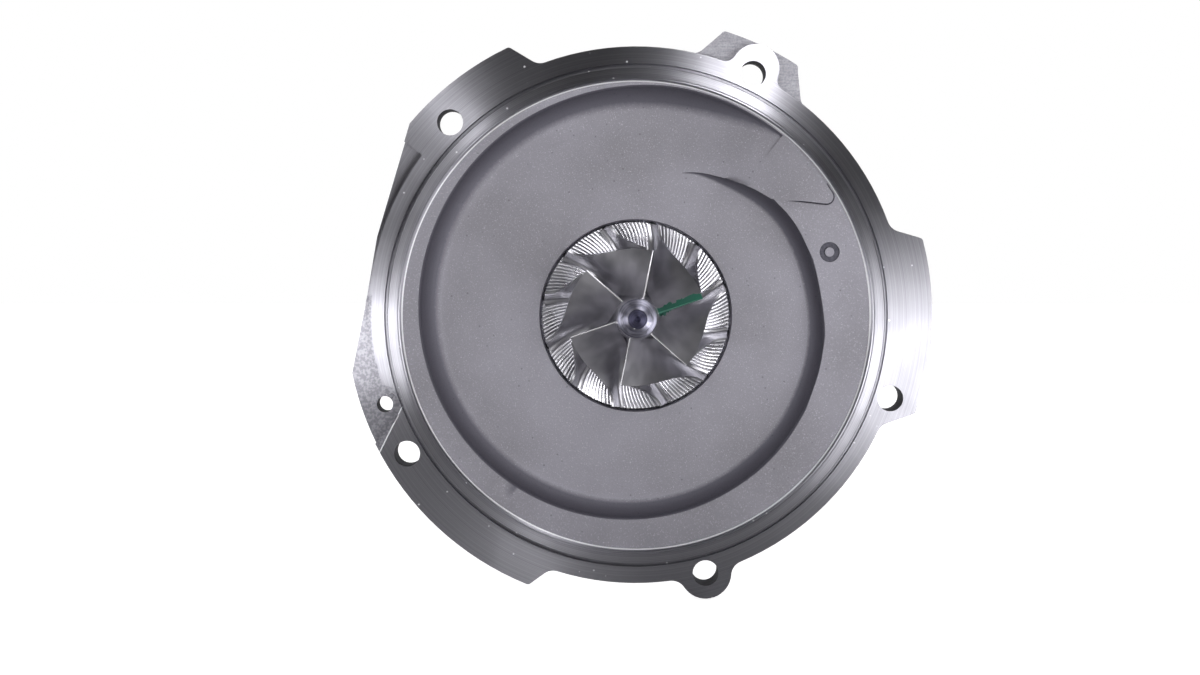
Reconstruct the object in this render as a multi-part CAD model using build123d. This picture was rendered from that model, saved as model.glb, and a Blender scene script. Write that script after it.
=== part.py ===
from build123d import *
import math
import os

# Turbo cartridge: rotor, bearings, bearing housing and compressor back plate of a small diesel turbocharger.
# Built with the shaft along Z and the compressor end towards +Z, with Z = 0 on the plate's joint face, then
# turned so that the compressor end faces -Y and the oil inlet is on top. Millimetres.

# Compressor back plate: joint face, ears and centring ring
ear_radius = 80.0
upper_ear_radius = ear_radius + 0.5
lower_ear_radius = ear_radius - 1.4
flange_radius = ear_radius - 7.5
flange_thickness = 10.5
foot_radius = flange_radius - 2.5           # where an ear's flanks run into the flange
right_ear = (334.0, 340.8, 375.2, 380.4)    # angles of an ear's foot, its two corners and its other foot
upper_ear = (50.0, 57.0, 73.0, 78.4)
left_ear = (109.6, 115.3, 139.6, 139.6)
lower_ear = (190.0, 191.6, 247.6, 252.8)
left_edge = ((5.4, 152.5), (6.7, 163.0), (6.8, 176.5), (1.4, 191.4), (1.4, 207.5))    # short of an ear, angle
left_edge_root = (205, 130)                 # angles between which it joins the flange
ear_foot_round = 4.0
ear_corner_round = 1.2
bolt_circle_radius = ear_radius - 7.7
bolt_hole_radius = 3.5
bolt_angles = (64.3, 133.8, 211.0, 285.2, 342.1)
lug_radius = 7.0
locating_hole_radius = 2.2
locating_hole_angle = 199.4
ledge_depth = 2.6           # low steps beside two of the ears
right_ledge = (48, 81)      # angles between which each step lies
left_ledge = (143, 191)
boss_circle = ear_radius - 6.0
ear_boss_radius = 6.4
pocket_round = 4.2
pocket_inner_radius = ear_radius - 10.4
ring_radius = flange_radius - 5.5
ring_height = 2.0
ring_chamfer = 0.3
ring_band = 2.4             # flat top of the ring, outside its fine groove
fine_groove = 0.35
ring_bevel = 0.8
relief_offset = 0.25        # flat between the ring's foot and its relief groove
relief_width = 0.75
relief_depth = 0.6

# Compressor back plate: cast face, spiral recess and outlet ramp
land_height = 0.8
floor_depth = 5.2
spiral_end_radius = ring_radius - 4.8
spiral_start_radius = spiral_end_radius - 14.0
spiral_start_angle = 41.0
spiral_sweep = 326.0        # clockwise, seen from the compressor end
spiral_power = 0.85
cove_start_width = 4.2
cove_end_width = 7.4
edge_round = 0.4
tongue_tip_radius = spiral_start_radius - 7.4
tongue_sweep = 31.0
ramp_start = 10.0           # the ramp climbs along X between these two
ramp_end = spiral_end_radius - 16.2
ramp_over_land = 0.7
outlet_edge = spiral_start_radius - 17.3    # its lower edge's height above the shaft, at its inner end
outlet_fall = 1.4           # how much lower that edge is at its outer end
outlet_corner = 2.2
outlet_bevel = 0.35
dimple_radius = 2.7
dimple_boss_radius = 1.25
dimple_depth = 0.5
dimple_circle = spiral_end_radius - 7.3
dimple_angle = 18.4

# Compressor back plate: rear side, and its joint with the bearing housing
web_depth = flange_thickness + 0.9    # rear of the cast wall behind the recess
joint_depth = flange_thickness + 5.5  # joint face between plate and bearing housing
hub_radius = 47.0                     # thick centre that the bearing housing bolts to
plate_ribs = 8
rib_thickness = 4.0
rear_recess_radius = 21.0
rear_recess_depth = 3.4
seal_bore_radius = 6.2
joint_bolt_circle = hub_radius - 7.0
joint_bolt_angles = (0, 60, 120, 180, 240, 300)
joint_bolt_radius = 3.0
joint_thread_depth = 7.5
dowel_radius = 2.0
dowel_length = 8.0
dowel_angle = 30

# Compressor wheel
wheel_radius = 25.4
wheel_pocket_gap = 0.6
pocket_radius = wheel_radius + wheel_pocket_gap
pocket_bevel = 0.3
wheel_back = 7.4            # depth of the wheel's rear face
rim_thickness = 1.7
inducer_radius = wheel_radius - 7.2
inducer_height = 12.6
nose_height = inducer_height + 4.0
nose_radius = 5.2
root_radius = 5.8
tip_width = 3.5
blade_count = 6
blade_wrap = 59.2
first_blade_angle = 16.5
edge_lean = 4.8             # how far a leading edge's foot lags behind its tip
edge_share = 0.3            # the lean is gone after this share of the blade
tip_thickness = 0.6
root_thickness = 1.1
splitter_start = 0.42

# Shaft and what it carries
stub_radius = 3.0
thread_radius = 2.5
journal_radius = 4.0
seat_fit = 0.02             # parts pushed on the shaft or into a hole
shoulder_depth = joint_depth + 7.0
waist_radius = 3.6
boss_radius = 8.0
shaft_end_height = nose_height + 7.4
nut_across_flats = 7.6
nut_flange_radius = 5.1
nut_flange_height = 1.2
nut_height = 5.6

# Thrust stack, from the joint face rearwards
thrust_gap = 0.05
thrust_radius = rear_recess_radius - 2.0
thrust_thickness = 4.0
thrust_bore = 5.6
thrust_screw_circle = thrust_radius - 4.2
thrust_screw_angles = (45, 135, 225)
thrust_screw_radius = 1.5
thrust_screw_depth = 8.0
thrust_screw_head = 2.9
thrust_notch = 14.0         # height of the drain notch in its lower edge
collar_radius = 9.5
collar_hub_radius = 5.5
sleeve_radius = 6.0
flinger_radius = 9.5
flinger_thickness = 2.0
deflector_sheet = 0.8
deflector_bore = 6.8

# Bearing housing, from the joint face rearwards
housing_length = 44.5       # from the joint face to the rear flange
rear_flange_depth = joint_depth + housing_length
rear_flange_thickness = 6.5
rear_flange_radius = 42.0
rear_flange_bevel = 1.6
spigot_radius = rear_flange_radius - 12.0
spigot_length = 3.5
housing_flange_radius = hub_radius - 0.5
housing_flange_thickness = 8.0
housing_shoulder_radius = joint_bolt_circle - 9.0
housing_waist_radius = housing_shoulder_radius - 7.5
boss_start_depth = rear_flange_depth - 0.5
boss_end_depth = rear_flange_depth + 9.5

# Piston ring seals
seal_ring_width = 1.2
seal_ring_wall = 1.1
seal_ring_slack = 0.1       # on each side in its groove
seal_groove_gap = 0.25      # below the ring
seal_ring_depth = wheel_back + 2.9
seal_ring_split = 0.4
turbine_ring_depths = (rear_flange_depth + 3.7, rear_flange_depth + 6.9)
turbine_seal_gap = 0.15

# Journal bearings
bush_length = 8.5
bush_radius = 6.5
bush_inner_gap = 0.04
bush_outer_gap = 0.06
front_bush_depth = joint_depth + 11.0
rear_bush_depth = rear_flange_depth - 13.0
oil_holes = 6
oil_hole_radius = 0.9
clip_thickness = 1.0
clip_wall = 1.9
clip_reach = 0.9            # depth of its groove in the bore
clip_gap = 0.25
clip_opening = 70.0
bearing_bore = bush_radius + bush_outer_gap

# Oil and water ways
thrust_cavity_radius = 11.5
thrust_cavity_depth = 5.0
slinger_radius = 10.0
slinger_width = 3.0
front_of_seal_bore = rear_flange_depth + 1.0
middle_cavity_radius = 7.9
drain_channel_width = 10.0
drain_channel_top = 9.5
drain_channel_bottom = 17.0
inlet_depth = joint_depth + 23.5
inlet_boss_radius = 11.0
inlet_height = 36.0
inlet_thread_radius = 5.35
inlet_thread_length = 11.0
inlet_drill_radius = 2.2
gallery_height = 10.5
gallery_radius = 1.75
feed_radius = 1.25
drain_depth = joint_depth + 26.0
drain_height = 36.0
drain_radius = 8.0
drain_neck_radius = 11.5
drain_flange_width = 46.0
drain_flange_length = 24.0
drain_flange_thickness = 8.0
drain_flange_round = 9.0
drain_stud_spacing = 32.0
drain_thread_radius = 3.4
port_depth = rear_flange_depth - 10.5
port_reach = 41.0
port_boss_radius = 9.0
port_thread_radius = 6.1
port_thread_length = 14.0
port_bore_radius = 4.5
jacket_inner = 14.0
jacket_front_depth = rear_flange_depth - 13.5
jacket_rear_depth = rear_flange_depth + 1.5
jacket_front_radius = housing_waist_radius - 4.5
jacket_rear_radius = housing_shoulder_radius - 5.0
plug_angle = 52.0
plug_depth = rear_flange_depth - 7.0
plug_boss_radius = 9.0
plug_reach = 33.5
plug_radius = 6.5
plug_thickness = 3.0
plug_wall = 1.2
plug_recess = 0.8

# What joins the plate and the bearing housing
bolt_clearance = 0.3
bolt_head_radius = 5.7
bolt_washer_radius = 6.4
bolt_washer_thickness = 1.2
bolt_head_height = 5.2
o_ring_radius = hub_radius - 14.0
o_ring_width = 2.3
o_ring_height = 1.6
o_ring_gap = 0.3

# Heat shield and turbine side
shield_sheet = 0.8
shield_gap = 0.3
shield_rim_radius = spigot_radius + 5.5
shield_depth = rear_flange_depth + 11.5
shield_bore_radius = 9.6
turbine_dowel_circle = rear_flange_radius - 3.2
turbine_dowel_angle = 90.0
turbine_dowel_radius = 1.5
turbine_dowel_length = 8.0
turbine_dowel_reach = 3.4
turbine_dowel_front = turbine_dowel_length - rear_flange_depth - rear_flange_thickness - turbine_dowel_reach

# Turbine wheel
turbine_radius = 22.5
turbine_back_depth = shield_depth + 2.0
turbine_disc = 2.2
turbine_exit_depth = turbine_back_depth + 20.0
turbine_exit_radius = turbine_radius - 3.1
turbine_hub_radius = 5.4
turbine_tip_width = 6.6
turbine_blades = 11
turbine_twist = 40.0
turbine_root_thickness = 1.5
turbine_tip_thickness = 0.8
turbine_nose_length = 3.0
turbine_nose_across_flats = 7.0


def along(radius, angle):
    turn = math.radians(angle)
    return (radius * math.cos(turn), radius * math.sin(turn))


def disc(radius, low, high):
    return Pos(0, 0, low) * Cylinder(radius, high - low, align=(Align.CENTER, Align.CENTER, Align.MIN))


def ring(outer, inner, low, high):
    return disc(outer, low, high) - disc(inner, low - 1, high + 1)


def turned(points):
    profile = make_face(Plane.XZ * Polyline(*points, close=True))
    return revolve(profile, Axis.Z)


def rod(radius, start, end):
    path = Vector(*end) - Vector(*start)
    return Plane(origin=start, z_dir=path) * Cylinder(
        radius, path.length, align=(Align.CENTER, Align.CENTER, Align.MIN)
    )


# Outline of the joint face


def ear(angles, reach):
    first_foot, first_corner, last_corner, last_foot = angles
    flank = 2 * ear_radius - foot_radius
    outline = Polyline(
        along(foot_radius, first_foot),
        along(ear_radius, first_corner),
        along(flank, first_corner),
        along(flank, last_corner),
        along(ear_radius, last_corner),
        along(foot_radius, last_foot),
        close=True,
    )
    return make_face(outline) & Circle(reach)


def left_side():
    outline = Polyline(
        along(foot_radius, left_ear[0]),
        along(ear_radius, left_ear[1]),
        along(ear_radius, left_ear[2]),
        *[along(ear_radius - inside, angle) for inside, angle in left_edge],
        *[along(foot_radius - lug_radius, angle) for angle in left_edge_root],
        close=True,
    )
    return make_face(outline) + ear(left_ear, ear_radius)


def round_lug():
    angle = bolt_angles[3]
    end = Pos(*along(bolt_circle_radius, angle)) * Circle(lug_radius)
    root = Rot(0, 0, angle) * Pos(foot_radius - 20, 0) * Rectangle(8, 20)
    return make_hull([*end.edges(), *root.edges()])


def plate_outline():
    outline = Circle(flange_radius) + left_side() + round_lug()
    outline += ear(right_ear, ear_radius)
    outline += ear(upper_ear, upper_ear_radius)
    outline += ear(lower_ear, lower_ear_radius)
    outline = offset(offset(outline, ear_foot_round, kind=Kind.ARC), -ear_foot_round, kind=Kind.ARC)
    return offset(offset(outline, -ear_corner_round, kind=Kind.ARC), ear_corner_round, kind=Kind.ARC)


# Spiral recess


def ramp_height(x):
    share = min(max((x - ramp_start) / (ramp_end - ramp_start), 0), 1)
    return (land_height + ramp_over_land + floor_depth) * (3 * share**2 - 2 * share**3) - floor_depth


def recess_edge(turn):
    if turn < 0:
        share = 1 + turn / tongue_sweep
        return tongue_tip_radius + (spiral_start_radius - tongue_tip_radius) * share
    share = min(turn / spiral_sweep, 1)
    return spiral_start_radius + (spiral_end_radius - spiral_start_radius) * share**spiral_power


def cove_width(turn):
    if turn < 0:
        return cove_start_width * (1 + turn / tongue_sweep) + edge_round
    share = min(turn / spiral_sweep, 1)
    return cove_start_width + (cove_end_width - cove_start_width) * share


def cove_section(turn):
    angle = spiral_start_angle - turn
    edge = recess_edge(turn)
    foot = edge - cove_width(turn)
    inner = foot - 5
    roof = land_height + 6

    def bed(radius):
        return ramp_height(along(radius, angle)[0]) if turn > spiral_sweep - 20 else -floor_depth

    rim = ramp_height(along(edge, angle)[0]) if turn < 0 else land_height
    rounding = edge_round if turn >= 0 else 0.05
    rise = rim - rounding - bed(foot)
    wall = edge - foot
    plane = Plane(origin=(0, 0, 0), x_dir=(*along(1, angle), 0), z_dir=(*along(1, angle - 90), 0))
    outline = Polyline((inner, bed(inner)), (foot, bed(foot)))
    outline += Bezier(
        (foot, bed(foot)),
        (foot + 0.55 * wall, bed(foot)),
        (edge, bed(foot) + 0.45 * rise),
        (edge, rim - rounding),
    )
    outline += Polyline(
        (edge, rim - rounding), (edge + rounding, rim), (edge + rounding, roof), (inner, roof),
        (inner, bed(inner)),
    )
    return plane * make_face(outline)


def recess_cove():
    turns = [-tongue_sweep, -0.55 * tongue_sweep, -0.25 * tongue_sweep]
    steps = 14
    turns += [spiral_sweep * step / steps for step in range(steps + 1)]
    turns += [spiral_sweep + 8, spiral_sweep + 16, spiral_sweep + 24]
    return loft([cove_section(turn) for turn in turns])


def recess_centre():
    turns = [2 - tongue_sweep] + [spiral_sweep * step / 14 for step in range(14)]
    points = [along(recess_edge(turn) - cove_width(turn) - 2.5, spiral_start_angle - turn) for turn in turns]
    outline = Spline(*points) + Line(points[-1], points[0])
    return Pos(0, 0, -floor_depth) * extrude(make_face(outline), land_height + 6 + floor_depth)


def above_ramp():
    top = land_height + ramp_over_land
    span = ramp_end - ramp_start
    roof = top + 6
    bed = -floor_depth
    outline = Line((-6, bed), (ramp_start, bed))
    soft = span / 3
    outline += Bezier((ramp_start, bed), (ramp_start + soft, bed), (ramp_end - soft, top), (ramp_end, top))
    outline += Polyline((ramp_end, top), (ring_radius, top), (ring_radius, roof), (-6, roof), (-6, bed))
    return Pos(0, ring_radius, 0) * extrude(Plane.XZ * make_face(outline), ring_radius)


def outlet_plan(outer):
    turns = [-tongue_sweep * step / 6 for step in range(7)]
    edge = [along(recess_edge(turn), spiral_start_angle - turn) for turn in turns]
    turns = [spiral_sweep + step for step in (-24, -12, 0, 12, 24)]
    far = [along(recess_edge(turn) - cove_width(turn) - 2.5, spiral_start_angle - turn) for turn in turns]
    corner = along(outer, spiral_start_angle - turns[-1])
    low = outlet_edge - outlet_fall
    end = (math.sqrt(outer**2 - low**2), low)
    below_tip = along(tongue_tip_radius - 6, spiral_start_angle + tongue_sweep - 1)
    outline = Spline(*edge) + Polyline(edge[-1], below_tip, far[0]) + Spline(*far) + Line(far[-1], corner)
    outline += ThreePointArc(corner, along(outer, spiral_start_angle), end) + Line(end, edge[0])
    plan = make_face(outline)
    return fillet(plan.vertices().sort_by_distance(end)[0], outlet_corner)


def sector(start, end, inner):
    reach = 2 * ear_radius
    middle = (start + end) / 2
    wedge = Polyline((0, 0), along(reach, start), along(reach, middle), along(reach, end), close=True)
    return make_face(wedge) - Circle(inner)


def ledges():
    boss_angle = bolt_angles[0]
    boss = Pos(*along(boss_circle, boss_angle)) * Circle(ear_boss_radius)
    boss += Rot(0, 0, boss_angle) * Pos(boss_circle / 2) * Rectangle(boss_circle, 2 * ear_boss_radius)
    upper = offset(offset(Circle(flange_radius) + boss, 3, kind=Kind.ARC), -3, kind=Kind.ARC)
    right = sector(*right_ledge, foot_radius) - upper
    pocket = along(bolt_circle_radius, locating_hole_angle)
    left = sector(*left_ledge, flange_radius - 0.4)
    left += Pos(*pocket) * Circle(pocket_round)
    left += make_face(Polyline(
        along(pocket_inner_radius, locating_hole_angle + 3.6),
        along(1.25 * ear_radius, bolt_angles[2]),
        along(1.25 * ear_radius, left_ledge[1] - 3),
        along(pocket_inner_radius + 1.5, left_ledge[1] - 1),
        close=True,
    ))
    return Pos(0, 0, -ledge_depth) * (extrude(right, ledge_depth + 1) + extrude(left, ledge_depth + 1))


def plate_rib_set():
    outline = Polyline(
        (hub_radius - 2, -joint_depth + 1.5), (hub_radius - 2, -flange_thickness),
        (ring_radius, -flange_thickness), (ring_radius - 1, -flange_thickness - 0.6), close=True,
    )
    rib = Pos(0, rib_thickness / 2, 0) * extrude(Plane.XZ * make_face(outline), rib_thickness)
    return [Rot(0, 0, 360 * (number + 0.5) / plate_ribs) * rib for number in range(plate_ribs)]


def raised_outlet():
    low = land_height - 1
    top = land_height + ramp_over_land
    ramp_foot = (ramp_start + ramp_end) / 2
    plan = outlet_plan(spiral_end_radius + edge_round)
    plan &= Pos(ramp_foot + ring_radius / 2, ring_radius / 2) * Rectangle(ring_radius, ring_radius)
    block = Pos(0, 0, low) * extrude(plan, top - low)
    rim = block.edges().filter_by_position(Axis.Z, top, top)
    rim = [edge for edge in rim if edge.center().X > ramp_end and edge.center().Y < ramp_end]
    return chamfer(rim, outlet_bevel) - above_ramp()


def wheel_pocket():
    low = -wheel_back - wheel_pocket_gap
    rim = -floor_depth - pocket_bevel
    above = 1 + pocket_bevel
    return turned([
        (0, low), (pocket_radius, low), (pocket_radius, rim), (pocket_radius + above, rim + above),
        (0, rim + above),
    ])


def back_plate():
    joint = -joint_depth
    top = ring_height
    relief = ring_radius + relief_offset
    foot = relief + relief_width
    bevel_foot = spiral_end_radius + edge_round + 0.3
    inner = bevel_foot + ring_bevel
    groove = ring_radius - ring_band - ring_chamfer
    slant = relief_width / 5
    body = turned([
        (0, land_height), (bevel_foot, land_height), (inner, top), (groove - fine_groove, top),
        (groove - fine_groove, top - fine_groove), (groove, top - fine_groove), (groove, top),
        (ring_radius - ring_chamfer, top), (ring_radius, top - ring_chamfer), (ring_radius, 0), (relief, 0),
        (relief + slant, -relief_depth), (foot - slant, -relief_depth), (foot, 0), (flange_radius - 1, 0),
        (flange_radius - 1, -flange_thickness), (ring_radius + 1, -flange_thickness),
        (ring_radius - 3, -web_depth), (hub_radius + 1, -web_depth), (hub_radius, joint), (0, joint),
    ])
    flange = Pos(0, 0, -flange_thickness) * extrude(plate_outline(), flange_thickness)
    body += flange - disc(foot, -flange_thickness - 1, 1)
    outlet = outlet_plan(spiral_end_radius)
    body -= recess_centre()
    body -= recess_cove()
    body -= above_ramp() & (Pos(0, 0, -floor_depth - 1) * extrude(outlet, 20))
    body += raised_outlet()
    body -= wheel_pocket()
    body -= disc(seal_bore_radius, joint - 1, 0)
    body -= disc(rear_recess_radius, joint - 1, joint + rear_recess_depth)
    for angle in bolt_angles:
        hole = along(bolt_circle_radius, angle)
        body -= rod(bolt_hole_radius, (*hole, -flange_thickness - 1), (*hole, 1))
    hole = along(bolt_circle_radius, locating_hole_angle)
    body -= rod(locating_hole_radius, (*hole, -flange_thickness - 1), (*hole, 1))
    for angle in joint_bolt_angles:
        hole = along(joint_bolt_circle, angle)
        body -= rod(joint_bolt_radius + seat_fit, (*hole, joint - 1), (*hole, joint + joint_thread_depth))
    hole = along(joint_bolt_circle, dowel_angle)
    body -= rod(dowel_radius + seat_fit, (*hole, joint - 1), (*hole, joint + dowel_length / 2 + 0.3))
    body -= ledges()
    body += plate_rib_set()
    body -= ring(dimple_radius, dimple_boss_radius, land_height - dimple_depth, land_height + 1).moved(
        Location((*along(dimple_circle, dimple_angle), 0))
    )
    return body


# Wheels


def curve(points, share):
    start, first, second, end = points
    left = 1 - share
    weights = (left**3, 3 * left**2 * share, 3 * left * share**2, share**3)
    radius = sum(weight * point[0] for weight, point in zip(weights, (start, first, second, end)))
    height = sum(weight * point[1] for weight, point in zip(weights, (start, first, second, end)))
    return radius, height


def blade_point(points, share, angle):
    radius, height = curve(points, share)
    return Vector(*along(radius, angle), height)


def blade(hub, shroud, wrap, root, tip, shares, sunk):
    def middle(share):
        hub_turn, shroud_turn = wrap(share)
        return (blade_point(hub, share, hub_turn) + blade_point(shroud, share, shroud_turn)) * 0.5

    sections = []
    for share in shares:
        low = blade_point(hub, share, wrap(share)[0])
        high = blade_point(shroud, share, wrap(share)[1])
        ahead = min(share + 0.02, 1)
        span = high - low
        side = span.cross(middle(ahead) - middle(ahead - 0.04)).normalized()
        low -= span.normalized() * sunk
        edge = min(1, 0.55 + 3 * (share - shares[0]))
        outline = Polyline(
            low + side * root * edge / 2,
            high + side * tip * edge / 2,
            high - side * tip * edge / 2,
            low - side * root * edge / 2,
            close=True,
        )
        sections.append(make_face(outline))
    return loft(sections)


def compressor_curves():
    rim = rim_thickness - wheel_back
    rise = inducer_height - rim
    span = wheel_radius - root_radius
    hub = ((root_radius, inducer_height), (root_radius, rim + 0.26 * rise), (root_radius + 0.32 * span, rim),
           (wheel_radius, rim))
    rise = inducer_height - rim - tip_width
    shroud = ((inducer_radius, inducer_height), (inducer_radius, rim + tip_width + 0.35 * rise),
              (inducer_radius, rim + tip_width), (wheel_radius, rim + tip_width))
    return hub, shroud


def compressor_wrap(share):
    lag = edge_lean * max(1 - share / edge_share, 0)
    hub = 0.9 * blade_wrap * (1 - (1 - share) ** 4.5) + 0.18 * blade_wrap * share**4 - lag
    shroud = blade_wrap * (1 - (1 - share) ** 1.6)
    return hub, shroud


def compressor_wheel():
    hub, shroud = compressor_curves()
    bore = stub_radius + seat_fit
    outline = Polyline(
        hub[0], (nose_radius, nose_height - 0.4), (nose_radius - 0.4, nose_height), (bore, nose_height),
        (bore, -wheel_back), (wheel_radius, -wheel_back), hub[3],
    )
    outline += Bezier(*hub)
    body = revolve(make_face(Plane.XZ * outline), Axis.Z)
    long_shares = [step / 8 for step in range(9)]
    short_shares = [splitter_start + (1 - splitter_start) * step / 5 for step in range(6)]
    long_blade = blade(hub, shroud, compressor_wrap, root_thickness, tip_thickness, long_shares, 1.0)
    short_blade = blade(hub, shroud, compressor_wrap, root_thickness, tip_thickness, short_shares, 1.0)
    blades = []
    for number in range(blade_count):
        angle = first_blade_angle + 360 * number / blade_count
        blades.append(Rot(0, 0, angle) * long_blade)
        blades.append(Rot(0, 0, angle + 180 / blade_count) * short_blade)
    return body + blades


def turbine_curves():
    rim = -turbine_back_depth - turbine_disc
    exit_edge = -turbine_exit_depth
    climb = rim - exit_edge
    span = turbine_radius - turbine_hub_radius
    hub = ((turbine_hub_radius, exit_edge), (turbine_hub_radius, rim - 0.42 * climb),
           (turbine_hub_radius + 0.4 * span, rim), (turbine_radius, rim))
    tip = rim - turbine_tip_width
    shroud = ((turbine_exit_radius, exit_edge), (turbine_exit_radius, tip - 0.4 * (tip - exit_edge)),
              (turbine_exit_radius + 0.6, tip), (turbine_radius, tip))
    return hub, shroud


def turbine_wrap(share):
    twist = turbine_twist * (1 - share) ** 1.7
    return twist, twist


def turbine_wheel():
    hub, shroud = turbine_curves()
    back = -turbine_back_depth
    outline = Polyline(
        hub[0], (0, -turbine_exit_depth), (0, -boss_end_depth), (boss_radius - 0.6, -boss_end_depth),
        (boss_radius - 0.6, back + 1.5), (boss_radius + 1, back), (turbine_radius, back), hub[3],
    )
    outline += Bezier(*hub)
    body = revolve(make_face(Plane.XZ * outline), Axis.Z)
    nose = RegularPolygon(turbine_nose_across_flats / 2, 6, major_radius=False)
    body += Pos(0, 0, -turbine_exit_depth - turbine_nose_length) * extrude(nose, turbine_nose_length + 1)
    shares = [step / 6 for step in range(7)]
    vane = blade(hub, shroud, turbine_wrap, turbine_root_thickness, turbine_tip_thickness, shares, 1.0)
    return body + [Rot(0, 0, 360 * number / turbine_blades) * vane for number in range(turbine_blades)]


# Shaft and the pieces that turn with it


def grooves(radius, depths):
    wall = seal_ring_wall + seal_groove_gap
    half = seal_ring_width / 2 + seal_ring_slack
    return [ring(radius + 1, radius - wall, -depth - half, -depth + half) for depth in depths]


def rotor_shaft():
    end = shaft_end_height
    step = nose_height - 2
    waist_front = front_bush_depth + bush_length + 2.0
    waist_rear = rear_bush_depth - 2.0
    body = turned([
        (0, end - 0.9), (0.9, end), (thread_radius - 0.4, end), (thread_radius, end - 0.4),
        (thread_radius, step), (stub_radius, step - 0.5), (stub_radius, -shoulder_depth),
        (journal_radius, -shoulder_depth), (journal_radius, -waist_front), (waist_radius, -waist_front - 1),
        (waist_radius, -waist_rear + 1), (journal_radius, -waist_rear), (journal_radius, -boss_start_depth),
        (boss_radius, -boss_start_depth), (boss_radius, -boss_end_depth), (0, -boss_end_depth),
    ])
    return body - grooves(boss_radius, turbine_ring_depths)


def shaft_lock_nut():
    low = nose_height
    top = low + nut_height
    hexagon = RegularPolygon(nut_across_flats / 2, 6, major_radius=False)
    crown = Pos(0, 0, low) * extrude(hexagon, nut_height)
    crown &= turned([(0, low), (6, low), (6, top - 1.3), (nut_across_flats / 2 - 0.2, top), (0, top)])
    body = crown + disc(nut_flange_radius, low, low + nut_flange_height)
    return body - disc(thread_radius + seat_fit, low - 1, top + 1)


def seal_sleeve():
    front = -wheel_back
    rear = -joint_depth + thrust_gap
    flinger = rear + flinger_thickness
    body = disc(sleeve_radius, flinger - 1, front) + disc(flinger_radius, rear, flinger)
    body -= grooves(sleeve_radius, (seal_ring_depth,))
    return body - disc(stub_radius + seat_fit, rear - 1, front + 1)


def thrust_collar():
    front = -joint_depth + thrust_gap
    disc_front = -joint_depth - thrust_thickness - thrust_gap
    body = disc(collar_hub_radius, -shoulder_depth, front) + disc(collar_radius, -shoulder_depth, disc_front)
    return body - disc(stub_radius + seat_fit, -shoulder_depth - 1, front + 1)


# Thrust bearing, oil deflector, seals and journal bearings


def thrust_screw_places(depth):
    return [(*along(thrust_screw_circle, angle), depth) for angle in thrust_screw_angles]


def thrust_bearing():
    front = -joint_depth
    rear = front - thrust_thickness
    middle = (front + rear) / 2
    body = disc(thrust_radius, rear, front) - disc(thrust_bore, rear - 1, front + 1)
    notch = Pos(0, -thrust_radius, middle) * Box(2 * drain_channel_width, thrust_notch, thrust_thickness + 2)
    body -= notch
    body -= rod(feed_radius, (0, gallery_height, rear - 1), (0, gallery_height, middle))
    body -= rod(0.7, (0, gallery_height + 1.2, middle), (0, 0, middle))
    for angle in (45, 135, 225, 315):
        groove = Pos(collar_radius - 2, 0, 0) * Box(4.5, 1.2, 0.6)
        for face in (front, rear):
            body -= Pos(0, 0, face) * Rot(0, 0, angle) * groove
    for place in thrust_screw_places(rear - 1):
        body -= rod(thrust_screw_radius + seat_fit, place, (*place[:2], front + 1))
        body -= Pos(*place[:2], 0) * screw_head(seat_fit)
    return body


def screw_head(extra):
    low = -joint_depth - thrust_screw_head + thrust_screw_radius
    return turned([
        (0, low - extra), (thrust_screw_radius, low - extra), (thrust_screw_head + extra, -joint_depth),
        (0, -joint_depth),
    ])


def thrust_bearing_screws():
    low = -joint_depth - thrust_thickness - thrust_screw_depth
    slot = Pos(0, 0, -joint_depth) * Box(2 * thrust_screw_head, 0.8, 1.2)
    screw = disc(thrust_screw_radius, low, -joint_depth - 1) + screw_head(0) - slot
    return Compound([Pos(*place) * screw for place in thrust_screw_places(0)])


def oil_deflector():
    floor = -joint_depth + rear_recess_depth
    outer = rear_recess_radius - seat_fit
    face = ring(outer, deflector_bore, floor - deflector_sheet, floor)
    return face + ring(outer, outer - deflector_sheet, -joint_depth, floor - deflector_sheet / 2)


def piston_ring(bore, depth):
    half = seal_ring_width / 2
    outer = bore - seat_fit
    body = ring(outer, outer - seal_ring_wall, -depth - half, -depth + half)
    return body - Pos(0, outer, -depth) * Box(seal_ring_split, 2 * seal_ring_wall + 1, 2 * seal_ring_width)


def compressor_seal_ring():
    return piston_ring(seal_bore_radius, seal_ring_depth)


def turbine_seal_rings():
    return Compound([piston_ring(boss_radius + turbine_seal_gap, depth) for depth in turbine_ring_depths])


def journal_bearing(depth):
    middle = depth + bush_length / 2
    body = ring(bush_radius, journal_radius + bush_inner_gap, -depth - bush_length, -depth)
    body -= ring(bush_radius + 1, bush_radius - 0.4, -middle - 1.1, -middle + 1.1)
    for number in range(oil_holes):
        angle = 360 * number / oil_holes
        body -= rod(oil_hole_radius, (*along(2, angle), -middle), (*along(bush_radius + 1, angle), -middle))
    return body


def clip_depths(depth):
    return depth - clip_gap - clip_thickness, depth + bush_length + clip_gap


def bearing_circlips(depth):
    outer = bearing_bore + clip_reach - seat_fit
    clips = []
    for start in clip_depths(depth):
        clip = ring(outer, outer - clip_wall, -start - clip_thickness, -start)
        opening = extrude(sector(270 - clip_opening / 2, 270 + clip_opening / 2, 0.1), clip_thickness + 2)
        clips.append(clip - Pos(0, 0, -start - clip_thickness - 1) * opening)
    return Compound(clips)


# Bearing housing and what is fixed to it


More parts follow.
